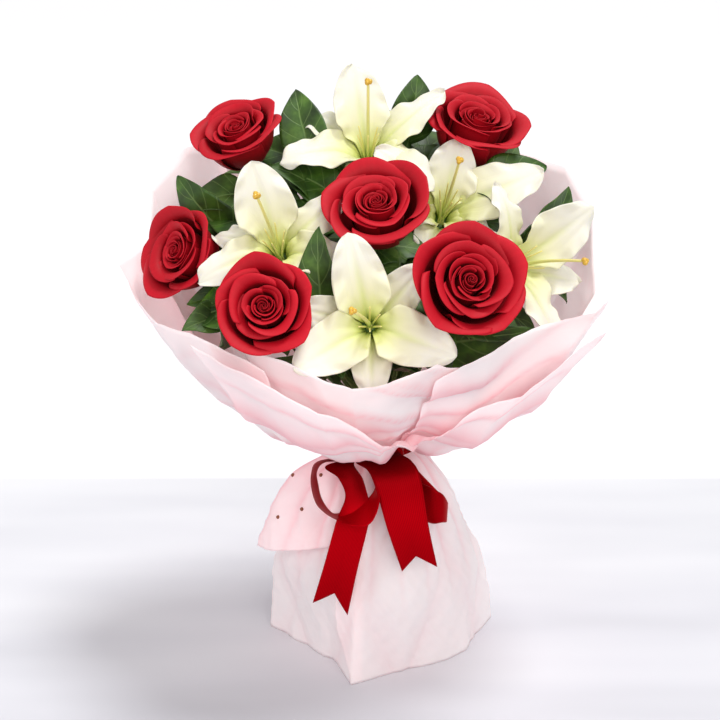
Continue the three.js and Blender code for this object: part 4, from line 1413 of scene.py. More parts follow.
@dataclass
class Foliage:
    """The small leaves that close the gaps under the blooms, each on a thin stalk of its own.

    They lie like shingles on a slope: its height is the crown's, less a part that grows with the
    square of the distance to the sides, and it falls towards the front. Where a bloom opens, they
    lie behind it.
    """

    clearances: list[Clearance]
    count: int = 50
    crown: float = 436.0
    front_fall: float = 0.62
    side_fall: float = 0.0017
    middle: tuple[float, float] = (8.0, -24.0)
    reach: tuple[float, float] = (158.0, 110.0)
    length: float = 68.0
    width: float = 44.0
    golden_turn: float = 137.5
    gathered: float = 0.11
    gather_height: float = TIE_HEIGHT + 30
    stalk_radius: float = 1.0
    seed: int = SEED + 90

    def height(self, x: float, y: float) -> float:
        """The slope's height at a place."""
        return self.crown + self.front_fall * y - self.side_fall * x**2

    def leaf(self, index: int, rng: np.random.Generator) -> tuple[Patch, Patch]:
        """One leaf in the slope with its stalk, which runs down into the tied bundle.

        Args:
            index: its number, which sets its place by equal areas and the golden turn.
            rng: the seeded source of small differences.

        Returns:
            The blade and the stalk.
        """
        turn = math.radians(self.golden_turn * index)
        share = math.sqrt((index + 0.5) / self.count)
        x = self.middle[0] + self.reach[0] * share * math.cos(turn)
        y = self.middle[1] + self.reach[1] * share * math.sin(turn)
        centre = np.array([x, y, self.height(x, y) - rng.uniform(4, 26)])
        for clearance in self.clearances:
            centre = clearance.keep(centre)
        face = unit(np.array([2 * self.side_fall * x, -self.front_fall, 1.0]))
        heading = turn + rng.uniform(-0.7, 0.7)
        along = np.array([math.cos(heading), math.sin(heading), 0.0])
        along = unit(along - face * np.dot(along, face))
        length = self.length * rng.uniform(0.85, 1.15)
        tip = centre + 0.5 * length * along + 4 * face
        base = centre - 0.5 * length * along - 12 * face
        blade = leaf_blade(base, tip, self.width * rng.uniform(0.85, 1.1), face, rng)
        gather = np.array([mix(TIE_X, x, self.gathered), mix(TIE_Y, y, self.gathered), self.gather_height])
        t = np.linspace(0, 1, 12)[:, None]
        under = gather + 0.55 * (base - gather) + [0, 0, -18]
        path = (1 - t) ** 2 * gather + 2 * t * (1 - t) * under + t**2 * base
        return blade, tube(path, self.stalk_radius, 7, finish=1)

    def build(self, leaf_finish: Material, stem_finish: Material) -> None:
        """Builds the blades as one thin-walled piece and the stalks as another.

        Args:
            leaf_finish: the blades' finish.
            stem_finish: the stalks' finish.
        """
        rng = np.random.default_rng(self.seed)
        pairs = [self.leaf(k, rng) for k in range(self.count)]
        blades = build_piece("foliage_leaves", [pair[0] for pair in pairs], [leaf_finish], LEAF_WALL)
        stalks = build_piece("foliage_stalks", [pair[1] for pair in pairs], [leaf_finish, stem_finish])


# --- Paper ---


def rim_between(rim: list[Vector3], turn: np.ndarray) -> tuple[np.ndarray, np.ndarray]:
    """Reach and height of a rim that runs straight between its corners.

    Between two corners with reaches p and q, seen under the angles a and b from them, the reach
    of the straight line is p q sin(a + b) / (p sin a + q sin b).

    Args:
        rim: corners, as direction, reach and height.
        turn: directions in degrees.

    Returns:
        The reach and the height for each direction.
    """
    turns, reaches, heights = (np.array(values, float) for values in zip(*rim))
    k = np.clip(np.searchsorted(turns, turn, side="left"), 1, len(turns) - 1)
    a, b = np.radians(turn - turns[k - 1]), np.radians(turns[k] - turn)
    p, q = reaches[k - 1], reaches[k]
    reach = p * q * np.sin(a + b) / (p * np.sin(a) + q * np.sin(b))
    return reach, np.interp(turn, turns, heights)


# Waves of the crumple: how often round the bouquet, how often up the sheet, phase and depth
CREASES = ((9.0, 3.0, 0.3, 0.5), (14.0, -7.0, 1.1, 0.35), (23.0, 11.0, 2.2, 0.25), (5.0, -13.0, 0.7, 0.25))


def creases(turn: np.ndarray, climb: np.ndarray) -> np.ndarray:
    """Fine crumple of handled paper, in millimetres: the same on every sheet, so they nest.

    It is the sum of the sharp-crested waves 1 - |sin| over slanting directions.

    Args:
        turn: directions round the bouquet, in degrees.
        climb: distance up the sheet, in widths of its crumple.

    Returns:
        The depth of the creases at each point.
    """
    total = np.zeros(np.broadcast(turn, climb).shape)
    for across, along, phase, depth in CREASES:
        total += depth * (1 - np.abs(np.sin(across * np.radians(turn) + along * climb + phase)))
    return total


@dataclass(frozen=True)
class CollarFolds:
    """Folds of the gathered collar: their depths and widths in millimetres.

    The puffed folds have the first width at the knot and the second away from it, and with the
    crisp ones they end between the two angles of front, in degrees from the knot.
    """

    front: tuple[float, float] = (70.0, 130.0)
    puff_widths: tuple[float, float] = (54.0, 86.0)
    puff_depth: float = 6.0
    crisp_depth: float = 3.2
    crisp_rate: float = 1.7
    pleats: int = 21
    pleat_depth: float = 2.2
    crease_depth: float = 1.6
    crease_width: float = 90.0

    def bend(self, points: np.ndarray) -> tuple[np.ndarray, np.ndarray]:
        """Bends space, so that sheets and leaves that are nested stay nested.

        A point moves square to its line from the middle of the tie, up the meridian, by a length
        that depends only on its direction and on its distance. That length adds sharp pleats
        that fan out of the tie and fade, puffed folds that sweep from the knot to both sides
        (|sin| of the distance over a width that grows away from the knot), crisp folds that
        follow each other faster and wander, and fine creases.

        Args:
            points: points of a sheet, in layout millimetres.

        Returns:
            The moved points, and for each how deep it lies in the folds, from 0 to 1, which the paper
            paints as shade.
        """
        x, y, z = points[..., 0] - TIE_X, points[..., 1] - TIE_Y, points[..., 2] - TIE_HEIGHT
        flat = np.hypot(x, y)
        distance = np.hypot(flat, z)
        around, rise = np.arctan2(y, x), np.arctan2(z, flat)
        turn = np.degrees(around) % 360
        aside = np.abs((turn - KNOT_DIRECTION + 180) % 360 - 180)
        front = 1 - smooth(aside, *self.front)
        sweep = distance / mix(*self.puff_widths, np.clip(aside / 80, 0, 1))
        sweep += 0.14 * np.sin(np.radians(5 * turn))
        puff = np.abs(np.sin(math.pi * sweep))
        pleat = np.abs(np.sin(np.radians(self.pleats * turn / 2)))
        wide = smooth(distance, 38, 70) * (1 - 0.7 * smooth(distance, 150, 210))
        wander = 0.22 * np.sin(np.radians(4 * turn) + 1)
        crisp = np.abs(np.sin(math.pi * (self.crisp_rate * sweep + wander)))
        away = front * (self.puff_depth * (puff - 0.64) + self.crisp_depth * (crisp - 0.64)) * wide
        fading = smooth(distance, 26, 40) * (1 - smooth(distance, 50, 115))
        away += self.pleat_depth * (pleat - 0.6) * fading
        crumple = creases(turn, distance / self.crease_width) - 0.6
        away += self.crease_depth * crumple * smooth(distance, 50, 90)
        # Painted shade: the tone is deep in the valleys of the puffed and crisp folds and of the pleats,
        # and near the tie where the layers gather
        depth = front * wide * (0.65 * (1 - puff) ** 2 + 0.6 * (1 - crisp) ** 3)
        depth += 0.35 * (1 - smooth(distance, 40, 110))
        depth += 0.35 * (1 - pleat) ** 2 * (1 - smooth(distance, 60, 140))
        up = [-np.sin(rise) * np.cos(around), -np.sin(rise) * np.sin(around), np.cos(rise)]
        return points + away[..., None] * np.stack(up, -1), np.clip(depth, 0, 1)


FOLDS = CollarFolds()


@dataclass
class CollarSheet:
    """A sheet of the collar: its layer outwards, its rim's corners and the size it was cut to."""

    name: str
    layer: int
    rim: list[Vector3]
    flat: tuple[float, float]
    area: float | None = None
    curl: float = 0.0
    fold_depth: float = 3.5
    folds: int = 10
    rows: int = 60
    step: float = 0.9
    neck_gap: float = 3.2
    tuck: float = 6.0

    def build(self, finish: Material) -> None:
        """Builds the sheet from the tie outwards along a flat shelf and up to the rim.

        Each meridian is a quadratic with weights (1-u)², 2u(1-u) and u² for the neck, the shelf
        and the rim. Long folds are a sine of the direction that fades at both ends, the shelf is
        pulled in where the folds run to the knot, the rim of a loose outer sheet curls outwards,
        and the collar's folds bend the whole sheet.

        Args:
            finish: the paper.
        """
        first, last = self.rim[0][0], self.rim[-1][0]
        turn, u = np.meshgrid(np.arange(first, last + 0.01, self.step), np.linspace(0, 1, self.rows))
        reach, rim_height = rim_between(self.rim, turn)
        neck = PAPER_NECK + self.neck_gap + PAPER_PITCH * self.layer
        pinch = np.exp(-(((turn - KNOT_DIRECTION) / 14) ** 2))
        shelf = mix(0.68, 0.5, pinch) * reach + PAPER_PITCH * self.layer
        shelf_height = TIE_HEIGHT + mix(-2, 14, pinch) - 0.8 * self.layer
        lower = TIE_HEIGHT + 17 - PAPER_PITCH * self.layer
        a, b, c = (1 - u) ** 2, 2 * u * (1 - u), u**2
        radius = a * neck + b * shelf + c * (reach + PAPER_PITCH * self.layer)
        height = a * lower + b * shelf_height + c * rim_height
        height += self.fold_depth * np.sin(np.radians(self.folds * turn)) * 4 * u * (1 - u)
        rim_wave = np.sin(np.radians(7 * turn) + self.layer)
        rim_wave += 0.6 * np.sin(np.radians(17 * turn) + 2 * self.layer)
        radius += 1.3 * rim_wave * smooth(u, 0.7, 1) + self.curl * smooth(u, 0.72, 1) ** 1.5
        height -= 0.6 * self.curl * smooth(u, 0.72, 1) ** 1.5
        angle = np.radians(turn)
        points = np.stack([TIE_X + radius * np.cos(angle), TIE_Y + radius * np.sin(angle), height], -1)
        points, depth = FOLDS.bend(points)
        foot = points[:1].copy()
        foot[..., 2] = TIE_HEIGHT - self.tuck
        patch = Patch(np.vstack([foot, points]), tone=np.vstack([depth[:1], depth]))
        piece = build_piece(f"paper_{self.name}", [patch], [finish], PAPER_WALL)
        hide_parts(self.name)


@dataclass(frozen=True)
class SkirtSheet:
    """A sheet of the skirt: its layer, its directions, the slant of its first edge at the floor,
    and the area it was cut to."""

    name: str
    layer: int
    first: float
    last: float
    area: float
    slant: float = 0.0


@dataclass
class Skirt:
    """The lower wrap that the bouquet stands on: its folded outline, how it leaves the neck, and
    the loose flap over its left side."""

    corners: list[tuple[float, float]]
    profile: list[tuple[float, float]]
    flat: tuple[float, float] = (0.38, 0.24)
    flap_turns: tuple[float, float] = (189.0, 243.0)
    flap_lows: tuple[float, float] = (98.0, 126.0)
    flap_stand: float = 25.0
    flap_droop: float = 4.0
    # painted shade of the flap, and the deeper pink of paper lying doubled
    flap_painted_shade_and_doubling: float = 0.18
    flap_flat: tuple[float, float] = (0.13, 0.12)
    flap_area: float = 0.0078
    flap_top: float = 196.0
    floor_gap: float = 0.2
    round_reach: float = 98.0
    pleats: int = 19
    pleat_depth: float = 3.4
    facet_depth: float = 5.5
    crumple_depth: float = 2.3
    crease_width: float = 60.0
    bulge: float = 9.0
    bulge_turn: float = 195.0
    bulge_height: float = 105.0
    bulge_spread: tuple[float, float] = (35.0, 40.0)
    rows: int = 76
    step: float = 1.0

    def outline(self, turn: np.ndarray) -> np.ndarray:
        """Distance from the base's centre to the outline, straight between its folds.

        Args:
            turn: directions round the base, in degrees.

        Returns:
            The distances, in millimetres.
        """
        first = self.corners[0]
        closed = [(*corner, 0.0) for corner in self.corners] + [(first[0] + 360, first[1], 0.0)]
        return rim_between(closed, np.where(turn < first[0], turn + 360, turn))[0]

    def points(
        self, turn: np.ndarray, height: np.ndarray, layer: float, stand: Values = 0.0
    ) -> tuple[np.ndarray, np.ndarray]:
        """Points of the skirt.

        The spread goes from 0 at the neck to 1 at the base and blends the neck's radius with the
        outline; pleats fan out of the neck and fade downwards, broad flat faces meet in soft
        edges (|sin| over slanting directions), the left side is puffed out above the floor, and
        creases lie over all of it.

        Args:
            turn: direction round the bouquet, in degrees.
            height: level above the floor, in millimetres.
            layer: 0 for the inner sheet.
            stand: how far the paper stands off, in millimetres.

        Returns:
            The points, in layout millimetres, and each one's painted shade, from 0 to 1: deep in the folds
            and near the top.
        """
        levels, spreads = (np.array(values) for values in zip(*reversed(self.profile)))
        near = [np.interp(height + step, levels, spreads) for step in (-9, 0, 9)]
        spread = 0.25 * near[0] + 0.5 * near[1] + 0.25 * near[2]
        neck = PAPER_NECK + PAPER_PITCH * layer
        reach = mix(self.outline(turn), self.round_reach, smooth(height, -60, 200)) + PAPER_PITCH * layer
        pleat = np.abs(np.sin(np.radians(self.pleats * turn / 2)))
        upper = smooth(height, 40, 185) * smooth(spread, 0.0, 0.3)
        facet = np.abs(np.sin(np.radians(2.5 * turn) + 0.011 * height + 0.4))
        facet = np.minimum(facet, np.abs(np.sin(np.radians(3.5 * turn) - 0.016 * height + 1.1)))
        crumple = self.crumple_depth * (creases(turn, height / self.crease_width) - 0.9)
        crumple = crumple * smooth(spread, 0.1, 0.4) * smooth(height, -30, 40)
        fold = self.pleat_depth * (pleat - 0.9) * upper
        fold += self.facet_depth * (facet - 0.65) * smooth(spread, 0.2, 0.6)
        aside = (turn - self.bulge_turn) / self.bulge_spread[0]
        above = (height - self.bulge_height) / self.bulge_spread[1]
        bulge = self.bulge * np.exp(-(aside**2) - above**2)
        radius = mix(neck, reach, spread) + stand + fold + bulge + crumple
        y = mix(TIE_Y, 0.0, np.clip(spread, 0, 1))
        lift = PAPER_PITCH * layer * smooth(height, 100, 190)
        angle = np.radians(turn)
        places = [TIE_X + radius * np.cos(angle), y + radius * np.sin(angle), height + lift]
        # Painted shade: deeper pink in the valleys of the pleats and faces, and near the top, under the
        # collar
        depth = 0.4 * (1 - pleat) ** 2 * upper + 0.12 * (1 - facet) ** 2 + 0.35 * smooth(height, 150, 205)
        return np.stack(places, -1), np.clip(depth, 0, 1)

    def build_sheet(self, sheet: SkirtSheet, finish: Material) -> None:
        """Builds one sheet of the skirt; at the floor its first edge leans towards its last.

        Args:
            sheet: which of them.
            finish: the paper.
        """
        s, height = np.meshgrid(
            np.linspace(0, 1, round((sheet.last - sheet.first) / self.step) + 1),
            np.linspace(self.profile[0][0], self.floor_gap, self.rows),
        )
        turn = mix(sheet.first + sheet.slant * (1 - smooth(height, 0, 45)), sheet.last, s)
        points, depth = self.points(turn, height, sheet.layer)
        piece = build_piece(f"paper_{sheet.name}", [Patch(points, tone=depth)], [finish], PAPER_WALL)
        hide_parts(sheet.name)

    def flap_points(self, s: np.ndarray, t: np.ndarray) -> tuple[np.ndarray, np.ndarray]:
        """Points of the flap, which hangs from the neck and lies over the left side.

        It stands off by the stand less the droop, times (1 - s) to the power 1.5, and ripples.

        Args:
            s: share of the way from its free edge to its front.
            t: share of the way from the neck down.

        Returns:
            The points, in layout millimetres, and each one's painted shade, from 0 to 1.
        """
        turn = mix(self.flap_turns[0], self.flap_turns[1], s)
        height = mix(self.flap_top, mix(self.flap_lows[0], self.flap_lows[1], s), t)
        stand = 2 + (self.flap_stand * smooth(t, 0, 0.3) - self.flap_droop * t**2) * (1 - s) ** 1.5
        stand = stand + 1.6 * np.sin(6 * t + 4 * s) * t
        return self.points(turn, height, 2, stand)

    def build_flap(self, finish: Material) -> None:
        """Builds the loose corner that is turned back over the left side and stands off it.

        Args:
            finish: the paper.
        """
        s, t = np.meshgrid(np.linspace(0, 1, 56), np.linspace(0, 1, 44))
        points, depth = self.flap_points(s, t)
        # Painted shade over the flap, with the deeper pink of the doubled paper
        patch = Patch(points, tone=depth + self.flap_painted_shade_and_doubling)
        piece = build_piece("paper_skirt_flap", [patch], [finish], PAPER_WALL)
        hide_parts("skirt_flap")

    def build_studs(self, places: list[tuple[float, float]], finish: Material) -> None:
        """Builds the small domed studs in the flap.

        Args:
            places: for each, its share of the way across and down the flap.
            finish: their metal.
        """
        t = np.linspace(0, 1, 7)
        patches = []
        for s, down in places:
            spots = [self.flap_points(np.array(s + a), np.array(down + b))[0] for a, b in
                     ((0, 0), (0.02, 0), (0, 0.02))]
            outward = unit(np.cross(spots[2] - spots[0], spots[1] - spots[0]))
            path = spots[0] + mix(-0.4, 1.8, t)[:, None] * outward
            patches.append(tube(path, 1.9 * np.sqrt(np.maximum(1 - t**2, 0.01)), 12))
        piece = build_piece("flap_studs", patches, [finish])


# --- Ribbon, twine and water ---


@dataclass
class Ribbon:
    """A strip of satin between two edges, given as pairs of points, with or without a notch."""

    name: str
    pairs: list[tuple[Vector3, Vector3]]
    flat: tuple[float, float]
    notch: float = 0.0
    curl: float = 1.6
    # Painted shade near the knot, and a painted highlight part way along the run
    knot_painted_shade: tuple[float, float] = (14.0, 62.0)
    painted_highlight_at: float = 0.76
    painted_highlight_width: float = 0.2
    across: int = 14
    along: int = 90

    def patch(self) -> Patch:
        """The strip: straight across between two smooth edges, hollowed a little by 1 - s².

        A notched end is drawn back by the notch's depth in the middle, in proportion to 1 - |s|.
        Its tone is painted shade: deepest at the knot, it fades over the two distances given for the
        knot's shade, and rises again away from a painted highlight at a given share of its run.

        Returns:
            The strip's surface.
        """
        left = spline([pair[0] for pair in self.pairs], self.along + 1)
        right = spline([pair[1] for pair in self.pairs], self.along + 1)
        s, t = grid(self.across, self.along)
        points = mix(left[:, None], right[:, None], (s[..., None] + 1) / 2)
        normal = unit(np.cross(np.gradient(points, axis=1), np.gradient(points, axis=0)))
        points = points + (self.curl * (1 - s**2) * np.sin(5 * t))[..., None] * normal
        if self.notch:
            back = unit(points[-6] - points[-1])
            tuck = self.notch * (1 - np.abs(s)) * smooth(t, 0.55, 1)
            points = points + tuck[..., None] * back
        near = np.linalg.norm((points - self.pairs[0][0]) * [0.7, 1.0, 1.0], axis=-1)
        glow = np.exp(-(((t - self.painted_highlight_at) / self.painted_highlight_width) ** 2))
        # Painted shade by the tone: dark near the knot, lighter round the painted highlight
        return Patch(points, tone=0.62 * (1 - smooth(near, *self.knot_painted_shade)) + 0.38 * (1 - glow))


def build_ribbon(strips: list[Ribbon], finish: Material) -> None:
    """Builds the bow's strips as sheets of satin; the first stands for the solid bow.

    Args:
        strips: tails and loops.
        finish: the satin.
    """
    for place, strip in enumerate(strips):
        piece = build_piece(strip.name, [strip.patch()], [finish], SATIN_WALL)
        if place == 0:
            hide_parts("ribbon_bow")


@dataclass
class NeckBand:
    """The ribbon round the neck, gathered from its full width, and the knot that closes it."""

    radius: float = 37.0
    low: float = 199.0
    high: float = 210.0
    gathers: int = 5
    gather_depth: float = 0.9
    flat: tuple[float, float] = (0.235, 0.02)
    knot: Vector3 = (27.0, -50.0, 209.0)
    knot_size: Vector3 = (12.0, 8.0, 10.0)

    def build_band(self, finish: Material) -> None:
        """Builds the band: a ring whose gathers are a wave across it that drifts round the neck.

        Args:
            finish: the satin.
        """
        turn = np.linspace(0, 2 * math.pi, 121)[None, :]
        t = np.linspace(0, 1, 22)[:, None]
        gathers = np.sin(2 * math.pi * self.gathers * t + 2 * np.sin(3 * turn))
        radius = self.radius + self.gather_depth * gathers
        points = np.stack(np.broadcast_arrays(
            TIE_X + radius * np.cos(turn), TIE_Y + radius * np.sin(turn), mix(self.high, self.low, t)
        ), -1)
        piece = build_piece("ribbon_neck_band", [Patch(points)], [finish], SATIN_WALL)
        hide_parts("ribbon_band")

    def build_knot(self, finish: Material) -> None:
        """Builds the knot: an ellipsoid whose surface is drawn into slanting folds.

        Args:
            finish: the satin.
        """
        t = np.linspace(0, math.pi, 40)[:, None]
        turn = np.linspace(0, 2 * math.pi, 60, endpoint=False)[None, :]
        folds = 1 + 0.09 * np.sin(6 * turn + 3 * t) * np.sin(t)
        wide = np.maximum(np.sin(t), 0.02) * folds
        shape = np.stack(np.broadcast_arrays(wide * np.cos(turn), -wide * np.sin(turn), np.cos(t)), -1)
        points = np.array(self.knot) + shape * np.array(self.knot_size)
        piece = build_piece("ribbon_knot", [Patch(points, tube=True)], [finish])


# --- Studio ---


@dataclass(frozen=True)
class Lamp:
    """A large square lamp: place in layout millimetres, size in metres, watts and colour."""

    name: str
    place: Vector3
    size: float
    power: float
    colour: str


@dataclass
class Studio:
    """A pale floor, soft light from large lamps, and the camera at the photograph's angle.

    The roof window is even daylight from above; its spread in degrees softens the shadow.
    """

    camera_place: Vector3 = (0.0, -1390.8, 837.9)
    target: Vector3 = (0.0, 0.0, 276.0)
    lens: float = 83.33
    sensor: float = 36.0
    floor_size: float = 12.0
    world_strength: float = 0.6
    window_place: Vector3 = (470, 110, 2100)
    window_strength: float = 1.8
    window_spread: float = 17.0
    lamps: tuple[Lamp, ...] = (
        Lamp("key light", (500, -1900, 1300), 1.3, 20.0, "#fffaf6"),
        Lamp("fill light", (-1500, -1200, 900), 1.4, 7.5, "#fff6f6"),
        Lamp("back light", (300, 1300, 1500), 1.2, 2.0, "#ffffff"),
    )

    def aim(self, piece: Object, place: Vector3) -> None:
        """Puts a lamp or camera in the scene, turned to look at the target.

        Args:
            piece: the lamp or camera.
            place: where it goes, in layout millimetres.
        """
        piece.location = Vector(np.array(place) * MM + SHIFT)
        look = Vector(np.array(self.target) * MM + SHIFT) - piece.location
        piece.rotation_euler = look.to_track_quat("-Z", "Y").to_euler()
        bpy.context.scene.collection.objects.link(piece)

    def build_camera(self) -> None:
        """Makes the scene's camera."""
        data = bpy.data.cameras.new("studio camera")
        data.lens = self.lens
        data.sensor_width = self.sensor
        camera = bpy.data.objects.new("studio camera", data)
        self.aim(camera, self.camera_place)
        bpy.context.scene.camera = camera

    def build_lamp(self, lamp: Lamp) -> None:
        """Adds one of the square lamps.

        Args:
            lamp: the lamp.
        """
        data = bpy.data.lights.new(lamp.name, "AREA")
        data.size = lamp.size
        data.energy = lamp.power
        data.color = linear(lamp.colour)[:3]
        self.aim(bpy.data.objects.new(lamp.name, data), lamp.place)

    def build_window(self) -> None:
        """Adds the roof window's daylight."""
        data = bpy.data.lights.new("roof window", "SUN")
        data.energy = self.window_strength
        data.angle = math.radians(self.window_spread)
        self.aim(bpy.data.objects.new("roof window", data), self.window_place)

    def build(self, floor_finish: Material) -> None:
        """Makes the floor, the world's white light, the lamps and the camera.

        Args:
            floor_finish: the table and the paper behind it.
        """
        half = self.floor_size / 2
        mesh = bpy.data.meshes.new("studio floor")
        square = [(-half, -half, 0), (half, -half, 0), (half, half, 0), (-half, half, 0)]
        mesh.from_pydata(square, [], [(0, 1, 2, 3)])
        mesh.materials.append(floor_finish)
        floor = bpy.data.objects.new("studio_floor", mesh)
        bpy.context.scene.collection.objects.link(floor)
        world = bpy.data.worlds.new("white studio")
        world.use_nodes = True
        background = world.node_tree.nodes["Background"]
        background.inputs["Color"].default_value = linear("#ffffff")
        background.inputs["Strength"].default_value = self.world_strength
        bpy.context.scene.world = world
        bpy.context.scene.view_settings.view_transform = "Standard"
        for lamp in self.lamps:
            self.build_lamp(lamp)
        self.build_window()
        self.build_camera()


# --- The bouquet ---

ROSES = [
    Rose(1, (-111, 52, 478), 60, -35, 20, 0.95),
    Rose(2, (106, 72, 482), 66, 36, 75, 1.1),
    Rose(3, (13, -42, 438), 56, -8, 200, 1.08),
    Rose(4, (-160, -26, 388), 28, -48, 300, 0.96),
    Rose(5, (-78, -128, 375), 33, -5, 130, 0.97),
    Rose(6, (90, -118, 394), 34, 14, 250, 1.14),
]

LILIES = [
    Lily(1, (7, 36, 470), 62, 0, (0, 16), 0, [
        LilyPetal(102, 98, 62, 42, 16), LilyPetal(146, 92, 40, 62, 40), LilyPetal(196, 98, 50, 62, 56),
        LilyPetal(262, 84, 42, 66, 84), LilyPetal(318, 92, 52, 64, 60), LilyPetal(36, 106, 40, 58, 18),
    ]),
    Lily(2, (-71, -55, 406), 46, -8, (-10, 14), 0, [
        LilyPetal(112, 94, 68, 44, 8), LilyPetal(44, 88, 44, 60, 55), LilyPetal(-12, 86, 46, 62, 74),
        LilyPetal(-72, 66, 38, 66, 34), LilyPetal(210, 90, 46, 60, 66), LilyPetal(168, 74, 32, 62, 60),
    ]),
    Lily(3, (76, 2, 424), 48, 12, (2, 8), 1, [
        LilyPetal(136, 98, 52, 56, 30), LilyPetal(72, 80, 60, 50, 22), LilyPetal(10, 110, 60, 60, 10),
        LilyPetal(-48, 72, 40, 64, 60), LilyPetal(-120, 62, 44, 66, 50), LilyPetal(176, 46, 30, 50, 80),
    ]),
    Lily(4, (8, -120, 358), 28, 0, (-14, 2), 0, [
        LilyPetal(104, 92, 56, 60, 18), LilyPetal(46, 80, 44, 66, 14), LilyPetal(-22, 92, 56, 64, 14),
        LilyPetal(-88, 74, 42, 68, 38), LilyPetal(-147, 90, 56, 62, 16), LilyPetal(168, 78, 40, 68, 24),
    ]),
    Lily(5, (146, -30, 380), 26, 48, (6, -14), 1, [
        LilyPetal(90, 92, 36, 58, 60), LilyPetal(22, 102, 62, 42, 8), LilyPetal(-34, 78, 46, 50, 20),
        LilyPetal(-98, 92, 44, 58, 20), LilyPetal(-146, 60, 34, 64, 50), LilyPetal(140, 66, 40, 56, 80),
    ]),
]

LEAF_STEMS = [
    LeafStem(1, (44, 92, 456), [
        Leaf((52, 96, 514), 40, 1), Leaf((84, 124, 452), 42, 0.93), Leaf((-4, 116, 492), 42, 0.9),
    ]),
    LeafStem(2, (-38, 50, 436), [
        Leaf((-58, 90, 502), 42, 1), Leaf((-78, 20, 450), 42, 0.94), Leaf((-44, 124, 462), 40, 0.9),
    ]),
    LeafStem(3, (-98, 14, 378), [
        Leaf((-160, 26, 440), 44, 1), Leaf((-150, -35, 342), 42, 0.88), Leaf((-155, 58, 397), 36, 0.94),
    ]),
    LeafStem(4, (-112, -40, 336), [Leaf((-150, -78, 334), 30, 1), Leaf((-114, -110, 332), 42, 0.95)]),
    LeafStem(5, (-26, -72, 316), [
        Leaf((-34, -58, 420), 42, 1), Leaf((-30, -132, 324), 42, 0.98), Leaf((-82, -122, 324), 40, 0.94),
    ]),
    LeafStem(6, (44, -48, 342), [
        Leaf((50, -66, 402), 34, 1), Leaf((144, -90, 340), 50, 0.9), Leaf((60, -126, 320), 42, 0.88),
    ]),
    LeafStem(7, (150, 32, 372), [
        Leaf((182, -16, 336), 36, 0.95), Leaf((186, 44, 425), 46, 1), Leaf((178, 68, 392), 36, 0.94),
    ]),
    LeafStem(8, (106, 46, 420), [
        Leaf((167, 56, 440), 44, 1), Leaf((144, 108, 446), 40, 0.93), Leaf((118, 4, 418), 34, 0.97),
    ]),
]

COLLAR = [
    CollarSheet("wrap_front_left", 5, [
        (216, 178, 344), (234, 164, 330), (252, 150, 300), (270, 122, 264), (288, 72, 234),
        (297, 60, 226),
    ], (0.2, 0.2), 0.023, curl=7.0),
    CollarSheet("wrap_front_right", 6, [
        (288, 60, 228), (297, 98, 256), (315, 146, 300), (333, 168, 328), (342, 184, 336),
    ], (0.2, 0.2), 0.017, curl=7.0),
    CollarSheet("wrap_right", 3, [
        (288, 138, 316), (306, 150, 338), (324, 160, 350), (342, 184, 348), (360, 197, 338),
    ], (0.25, 0.22), 0.032),
    CollarSheet("wrap_left", 3, [
        (162, 198, 382), (180, 224, 373), (189, 207, 350), (198, 191, 337), (216, 172, 337),
        (234, 156, 322),
    ], (0.3, 0.24), 0.0405),
    CollarSheet("wrap_back_left", 1, [
        (135, 178, 446), (153, 194, 451), (162, 212, 422), (171, 202, 392), (180, 194, 370),
    ], (0.25, 0.26), 0.034),
    CollarSheet("wrap_back_right", 1, [
        (-9, 180, 338), (0, 186, 346), (18, 201, 397), (27, 192, 433), (45, 180, 436),
        (63, 170, 440),
    ], (0.28, 0.26), 0.045),
    CollarSheet("wrap_front_inner", 1, [
        (225, 160, 338), (234, 156, 334), (252, 150, 321), (261, 149, 314), (279, 147, 325),
        (288, 147, 331), (297, 140, 322), (306, 120, 282), (315, 96, 250),
    ], (0.24, 0.2), 0.029),
    CollarSheet("wrap_back", 0, [
        (54, 166, 436), (72, 155, 450), (90, 148, 440), (108, 154, 454), (126, 166, 446),
        (144, 176, 436),
    ], (0.32, 0.28), 0.053),
]

SKIRT = Skirt(
    corners=[
        (180, 105), (234, 71), (256, 104), (297, 79), (333, 92),
        (369, 112), (414, 110), (468, 100), (504, 92),
    ],
    profile=[(212.0, 0.0), (196.0, 0.03), (186.0, 0.28), (145.0, 0.6), (75.0, 0.95), (0.2, 1.0)],
)
SKIRT_SHEETS = [
    SkirtSheet("skirt_right", 1, 243, 432, 0.06, slant=13.0),
    SkirtSheet("skirt_left", 0, 54, 261, 0.063),
]
STUDS = [(0.06, 0.285), (0.43, 0.23), (0.41, 0.565), (0.19, 0.665)]

